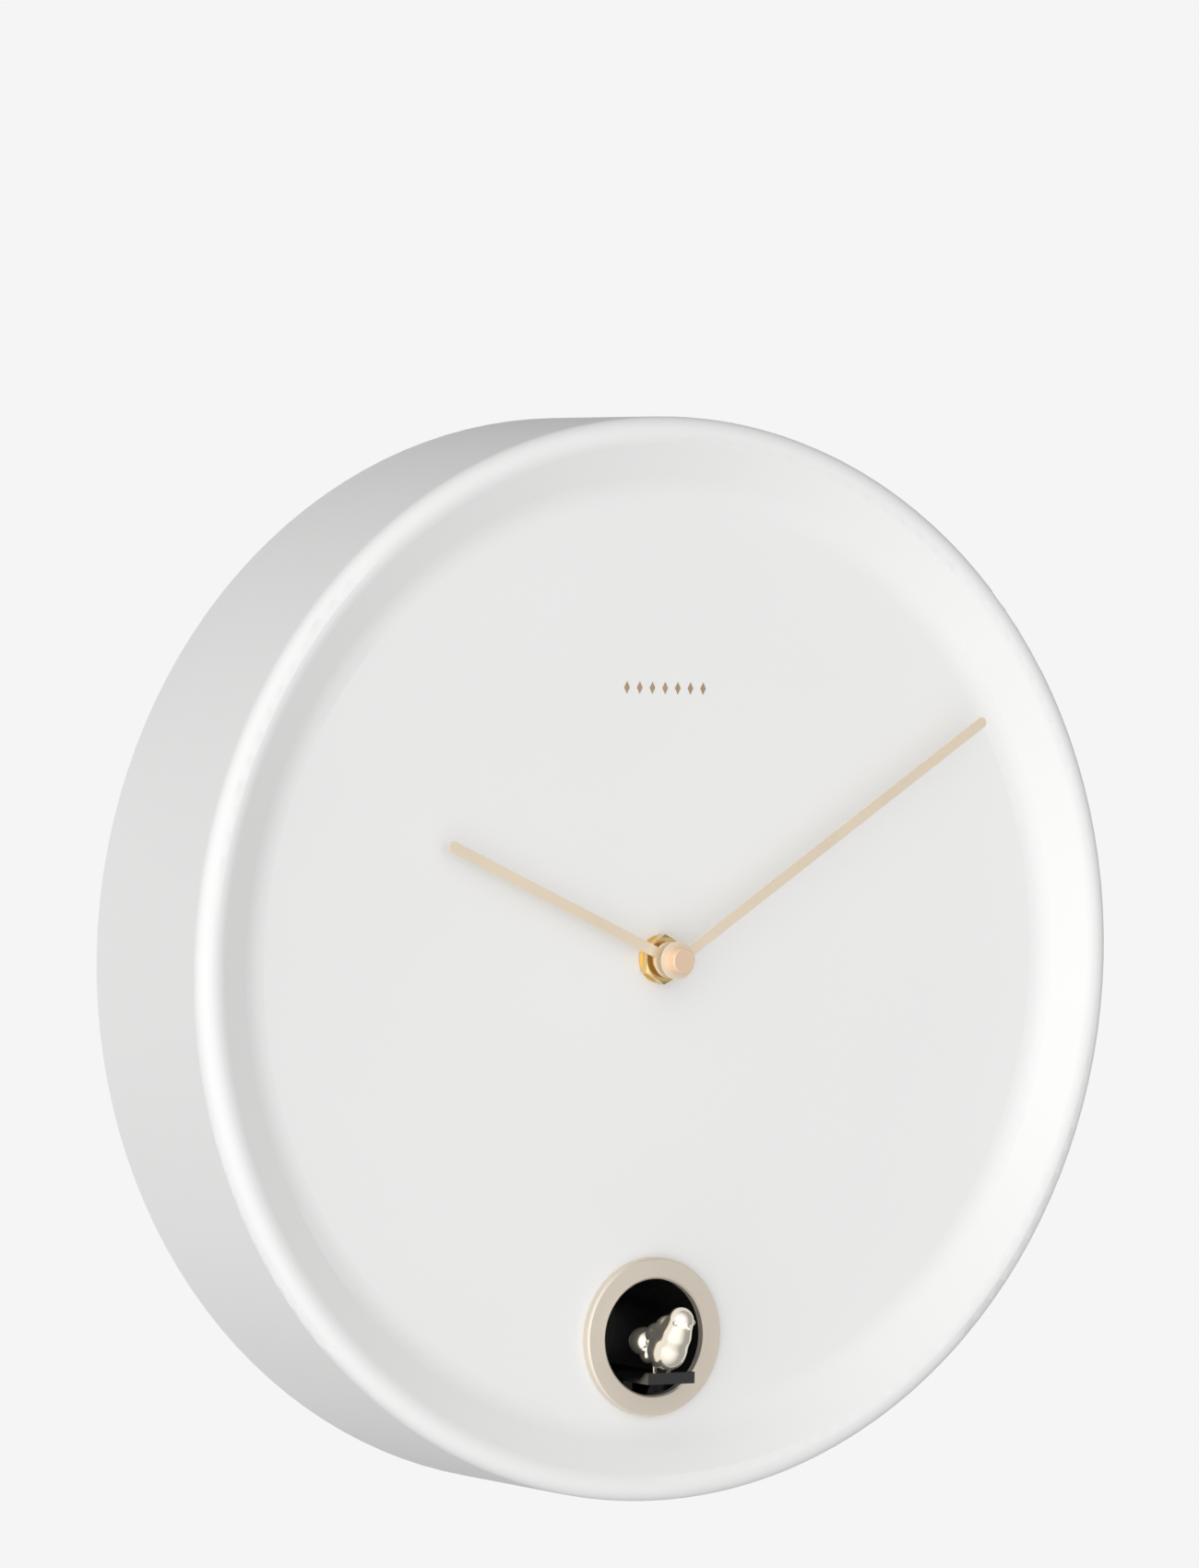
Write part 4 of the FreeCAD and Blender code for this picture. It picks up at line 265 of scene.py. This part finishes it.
def metal(name, dark, light, rough, grain, depth, stretch=None, bare=1.0):
    """Metal with a tone drift and fine finishing marks; bare is 1 for polish and less for lacquer."""
    material, tree, shader = new_material(name)
    shader.inputs["Metallic"].default_value = bare
    drift = noise(tree, METAL_DRIFT_SCALE, 3.0)
    tree.links.new(tint(tree, drift.outputs["Fac"], dark, light), shader.inputs["Base Color"])
    marks = noise(tree, grain, 3.0)
    if stretch:
        mapping = tree.nodes.new("ShaderNodeMapping")
        mapping.inputs["Scale"].default_value = stretch
        place = tree.nodes.new("ShaderNodeTexCoord")
        tree.links.new(place.outputs["Object"], mapping.inputs["Vector"])
        tree.links.new(mapping.outputs["Vector"], marks.inputs["Vector"])
    low = rough * (1.0 - METAL_ROUGH_SHARE)
    high = rough * (1.0 + METAL_ROUGH_SHARE)
    tree.links.new(spread(tree, marks.outputs["Fac"], low, high), shader.inputs["Roughness"])
    bump(tree, shader, marks.outputs["Fac"], METAL_BUMP, depth)
    return material


# How each material slot looks: its maker, then two tones, roughness, grain and the height of the grain.
LOOKS = {
    # the case
    "white_abs": (
        plastic,
        dict(dark=(0.84, 0.84, 0.835), light=(0.86, 0.86, 0.855),
             rough=0.36, grain=2400.0, depth=0.02 * MM, coat=0.1),
    ),
    # the back and the battery door
    "cover_abs": (
        plastic,
        dict(dark=(0.80, 0.80, 0.79), light=(0.83, 0.83, 0.82),
             rough=0.55, grain=1500.0, depth=0.06 * MM),
    ),
    # both hands, lacquered
    "champagne_hand": (
        metal,
        dict(dark=(0.89, 0.765, 0.59), light=(0.93, 0.80, 0.62),
             rough=0.38, grain=900.0, depth=0.01 * MM, bare=0.5),
    ),
    # the porthole's ring, lacquered
    "champagne_satin": (
        metal,
        dict(dark=(0.77, 0.695, 0.59), light=(0.81, 0.73, 0.62),
             rough=0.36, grain=1800.0, depth=0.01 * MM, bare=0.55),
    ),
    # the minute hand's cap
    "rose_brass": (
        metal,
        dict(dark=(0.91, 0.67, 0.48), light=(0.95, 0.71, 0.51),
             rough=0.25, grain=900.0, depth=0.01 * MM, bare=0.5),
    ),
    # the neck with its nut and washer, the clutch spring and the motor's pinion
    "brass": (
        metal,
        dict(dark=(0.82, 0.60, 0.26), light=(0.88, 0.66, 0.32),
             rough=0.13, grain=900.0, depth=0.01 * MM),
    ),
    # the row of lozenges
    "gold_print": (
        metal,
        dict(dark=(0.62, 0.44, 0.27), light=(0.70, 0.52, 0.34),
             rough=0.40, grain=900.0, depth=0.01 * MM),
    ),
    # the bird
    "gold_chrome": (
        metal,
        dict(dark=(0.92, 0.85, 0.72), light=(0.95, 0.89, 0.77),
             rough=0.12, grain=300.0, depth=0.005 * MM, bare=0.85),
    ),
    # the tunnel behind the porthole and the bird's tray
    "black_gloss": (
        plastic,
        dict(dark=(0.010, 0.010, 0.010), light=(0.016, 0.015, 0.014),
             rough=0.16, grain=1200.0, depth=0.01 * MM, coat=0.5),
    ),
    # the gearbox frame, the setting knob, the slider and the button
    "black_abs": (
        plastic,
        dict(dark=(0.020, 0.020, 0.021), light=(0.032, 0.032, 0.033),
             rough=0.5, grain=1600.0, depth=0.04 * MM),
    ),
    # the gasket
    "black_rubber": (
        plastic,
        dict(dark=(0.018, 0.018, 0.018), light=(0.028, 0.028, 0.028),
             rough=0.8, grain=1600.0, depth=0.04 * MM),
    ),
    # chips, sockets and switch housings
    "black_chip": (
        plastic,
        dict(dark=(0.03, 0.03, 0.03), light=(0.05, 0.05, 0.05),
             rough=0.6, grain=1600.0, depth=0.03 * MM),
    ),
    # the movement's housing and bridge
    "movement_abs": (
        plastic,
        dict(dark=(0.04, 0.04, 0.042), light=(0.06, 0.06, 0.062),
             rough=0.5, grain=1600.0, depth=0.04 * MM),
    ),
    # the moulded gears
    "acetal": (
        plastic,
        dict(dark=(0.80, 0.79, 0.72), light=(0.86, 0.85, 0.79),
             rough=0.45, grain=900.0, depth=0.02 * MM),
    ),
    # the minute arbor, the stator and the gear axle
    "steel": (
        metal,
        dict(dark=(0.52, 0.52, 0.52), light=(0.62, 0.62, 0.62),
             rough=0.28, grain=1200.0, depth=0.01 * MM),
    ),
    # screws, the hanger plate and the speaker's basket
    "zinc_steel": (
        metal,
        dict(dark=(0.58, 0.59, 0.61), light=(0.70, 0.70, 0.70),
             rough=0.30, grain=500.0, depth=0.01 * MM),
    ),
    # battery strips and the crystal's can
    "nickel": (
        metal,
        dict(dark=(0.68, 0.67, 0.63), light=(0.76, 0.75, 0.71),
             rough=0.15, grain=700.0, depth=0.01 * MM),
    ),
    # the rotor
    "magnet": (
        metal,
        dict(dark=(0.14, 0.14, 0.16), light=(0.20, 0.20, 0.22),
             rough=0.45, grain=900.0, depth=0.02 * MM),
    ),
    # the coil
    "copper": (
        metal,
        dict(dark=(0.50, 0.17, 0.06), light=(0.68, 0.27, 0.10),
             rough=0.30, grain=2500.0, depth=0.03 * MM, stretch=(30.0, 1.0, 1.0)),
    ),
    # circuit boards
    "green_board": (
        plastic,
        dict(dark=(0.03, 0.16, 0.07), light=(0.05, 0.22, 0.10),
             rough=0.35, grain=700.0, depth=0.02 * MM, coat=0.4),
    ),
    # the cells' sleeves
    "cell_wrap": (
        plastic,
        dict(dark=(0.05, 0.055, 0.07), light=(0.07, 0.08, 0.10),
             rough=0.3, grain=500.0, depth=0.01 * MM, coat=0.3),
    ),
    # the speaker's cone
    "speaker_paper": (
        plastic,
        dict(dark=(0.03, 0.03, 0.03), light=(0.06, 0.055, 0.05),
             rough=0.9, grain=1400.0, depth=0.1 * MM),
    ),
    # the motor
    "motor_can": (
        metal,
        dict(dark=(0.50, 0.50, 0.50), light=(0.60, 0.60, 0.60),
             rough=0.30, grain=900.0, depth=0.01 * MM),
    ),
}


def make_materials():
    """One material for each slot, under the slot's name."""
    return {name: maker(name, **look) for name, (maker, look) in LOOKS.items()}


def dress_nodes(materials):
    """Give every CAD node the material of its slot."""
    for part in frame["record"]["subparts"]:
        data = frame["nodes"][part["node"]].data
        data.materials.clear()
        data.materials.append(materials[part["material_slot"]])


# ---------------------------------------------------------------- distance fields

CELL_CORNERS = 8
PULL_ROUNDS = 8
NUDGE_SHARE = 0.01

# These keep the divisions finite where a field is level.
LEAST_SLOPE = 1e-9
LEAST_SLOPE_SQUARED = 1e-6


def ball(points, centre, radii):
    """The distance to an ellipsoid, close to its surface; radii are its half sizes."""
    radii = np.asarray(radii)
    inner = (points - centre) / radii
    reach = np.linalg.norm(inner, axis=-1)
    slope = np.linalg.norm(inner / radii, axis=-1)
    return reach * (reach - 1.0) / np.maximum(slope, LEAST_SLOPE)


def limb(points, start, start_radius, end, end_radius):
    """The distance to a round limb that tapers from one point to another."""
    way = end - start
    share = np.clip((points - start) @ way / (way @ way), 0.0, 1.0)
    nearest = start + share[..., None] * way
    radius = start_radius + share * (end_radius - start_radius)
    return np.linalg.norm(points - nearest, axis=-1) - radius


def soft_union(first, second, reach):
    """The union of two distance fields with a smooth fillet about reach wide."""
    overlap = np.maximum(reach - np.abs(first - second), 0.0) / reach
    return np.minimum(first, second) - overlap ** 2 * reach / 4.0


def net_mesh(name, field, low, high, step):
    """A closed quad mesh on the surface where a distance field is zero.

    Each grid cell that the surface crosses gets one vertex, which is then pulled onto the surface,
    and each grid edge that the surface crosses gets the quad of the four cells round it.
    """
    axes = [np.arange(low[i] - 2 * step, high[i] + 3 * step, step) for i in range(3)]
    grid = np.stack(np.meshgrid(*axes, indexing="ij"), axis=-1)
    inside = field(grid) < 0.0
    cells = tuple(size - 1 for size in inside.shape)
    filled = np.zeros(cells, int)
    for i in (0, 1):
        for j in (0, 1):
            for k in (0, 1):
                filled += inside[i:i + cells[0], j:j + cells[1], k:k + cells[2]]
    crossed = (filled > 0) & (filled < CELL_CORNERS)
    number = np.full(cells, -1)
    number[crossed] = np.arange(crossed.sum())
    points = grid[:-1, :-1, :-1][crossed] + step / 2
    nudge = step * NUDGE_SHARE
    for _ in range(PULL_ROUNDS):
        here = field(points)
        slope = np.stack([(field(points + nudge * axis) - here) / nudge for axis in np.eye(3)], axis=-1)
        steepness = np.maximum((slope ** 2).sum(axis=-1), LEAST_SLOPE_SQUARED)
        points = points - (here / steepness)[:, None] * slope
    faces = []
    for axis in range(3):
        across, up = (axis + 1) % 3, (axis + 2) % 3
        near = np.moveaxis(inside, axis, 0)[:-1]
        far = np.moveaxis(inside, axis, 0)[1:]
        for turn, edges in ((1, near & ~far), (-1, far & ~near)):
            places = np.argwhere(np.moveaxis(edges, 0, axis))
            ring = []
            for step_across, step_up in ((0, 0), (1, 0), (1, 1), (0, 1)):
                cell = places.copy()
                cell[:, across] -= step_across
                cell[:, up] -= step_up
                ring.append(number[tuple(cell.T)])
            faces.append(np.stack(ring, axis=-1)[:, ::turn])
    data = bpy.data.meshes.new(name)
    data.from_pydata(points.tolist(), [], np.concatenate(faces).tolist())
    data.shade_smooth()
    made = bpy.data.objects.new(name, data)
    bpy.context.scene.collection.objects.link(made)
    return made


# ---------------------------------------------------------------- bird

BIRD_MESH_STEP = 0.30 * MM

# Places on the bird are (across, behind the beak's tip, below the crown), and all sizes are in millimetres.
HEAD = (0.0, 4.95, 3.62)
BREAST = (0.0, 7.3, 7.9)
BELLY = (0.0, 11.6, 12.2)
SHOULDER = (0.0, 11.2, 6.2)
BACK = (0.0, 16.4, 8.5)
LOIN = (0.0, 20.2, 10.8)
RUMP = (0.0, 23.25, 10.95)
VENT = (0.0, 20.75, 14.4)
BEAK_ROOT = (0.0, 2.4, 5.0)
BEAK_TIP = (0.0, 0.36, 5.7)
EYE = (2.75, 3.2, 4.1)
HIP = (2.2, 14.15, 15.0)
HEEL = (2.2, 14.15, 19.9)
TOE = (2.2, 11.7, 20.1)
HIP_RADIUS = 0.75
HEEL_RADIUS = 0.5
TOE_RADIUS = 0.42
TOE_SPREAD = 1.3
LEG_SOFTNESS = 0.4
TOE_SOFTNESS = 0.2
HEAD_SIZES = (3.4, 3.45, 3.55)
BELLY_SIZES = (4.85, 6.2, 5.75)
BELLY_SOFTNESS = 2.0
EYE_SIZES = (0.75, 0.75, 0.75)
EYE_SOFTNESS = 0.25

# The egg-shaped masses behind the breast: place, half sizes and how softly each runs into the rest.
BACK_BALLS = (
    (SHOULDER, (3.7, 3.6, 3.6), 1.4),
    (BACK, (3.5, 3.5, 3.4), 0.9),
    (RUMP, (4.2, 4.3, 4.0), 0.5),
    (VENT, (2.4, 2.4, 2.5), 0.6),
)

# The tapered lengths of the body and the beak: both ends with their radii, and the softness.
BODY_LIMBS = (
    (BELLY, 4.4, BREAST, 4.0, 2.5),
    (BREAST, 3.9, HEAD, 2.8, 1.6),
    (LOIN, 1.4, BELLY, 4.2, 0.6),
)
BEAK = (BEAK_ROOT, 1.25, BEAK_TIP, 0.34, 0.5)


def bird_point(place):
    """A place on the bird, in the frame's metres, from the box of the CAD bird."""
    low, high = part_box("bird")
    across, behind_beak, below_crown = place
    return np.array([(low.x + high.x) / 2 + across * MM, low.y + behind_beak * MM, high.z - below_crown * MM])


def add_ball(shape, points, place, radii, softness):
    """Run an egg shape into the bird."""
    egg = ball(points, bird_point(place), np.array(radii) * MM)
    return soft_union(shape, egg, softness * MM)


def add_limb(shape, points, start, start_radius, end, end_radius, softness):
    """Run a tapered length into the bird."""
    length = limb(points, bird_point(start), start_radius * MM, bird_point(end), end_radius * MM)
    return soft_union(shape, length, softness * MM)


def on_side(place, side, shift=0.0):
    """The place on the left (-1) or the right (1) side, moved across by a shift."""
    return (side * place[0] + shift, place[1], place[2])


def bird_field(points):
    """The distance to the bird: its body and beak, and on each side an eye and a leg with three toes."""
    shape = ball(points, bird_point(HEAD), np.array(HEAD_SIZES) * MM)
    shape = add_ball(shape, points, BELLY, BELLY_SIZES, BELLY_SOFTNESS)
    for length in BODY_LIMBS:
        shape = add_limb(shape, points, *length)
    for egg in BACK_BALLS:
        shape = add_ball(shape, points, *egg)
    shape = add_limb(shape, points, *BEAK)
    for side in (-1, 1):
        shape = add_ball(shape, points, on_side(EYE, side), EYE_SIZES, EYE_SOFTNESS)
        heel = on_side(HEEL, side)
        shape = add_limb(shape, points, on_side(HIP, side), HIP_RADIUS, heel, HEEL_RADIUS, LEG_SOFTNESS)
        for shift in (-TOE_SPREAD, 0.0, TOE_SPREAD):
            toe = on_side(TOE, side, shift)
            shape = add_limb(shape, points, heel, HEEL_RADIUS, toe, TOE_RADIUS, TOE_SOFTNESS)
    return shape


def make_bird(materials):
    """The cast bird, in place of the CAD one, on the body that slides out."""
    low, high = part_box("bird")
    bird = net_mesh("bird_cast", bird_field, low, high, BIRD_MESH_STEP)
    bird.data.materials.append(materials["gold_chrome"])
    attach(bird, "cuckoo")
    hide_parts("bird")


make_camera()
make_studio()
materials = make_materials()
dress_nodes(materials)
make_bird(materials)
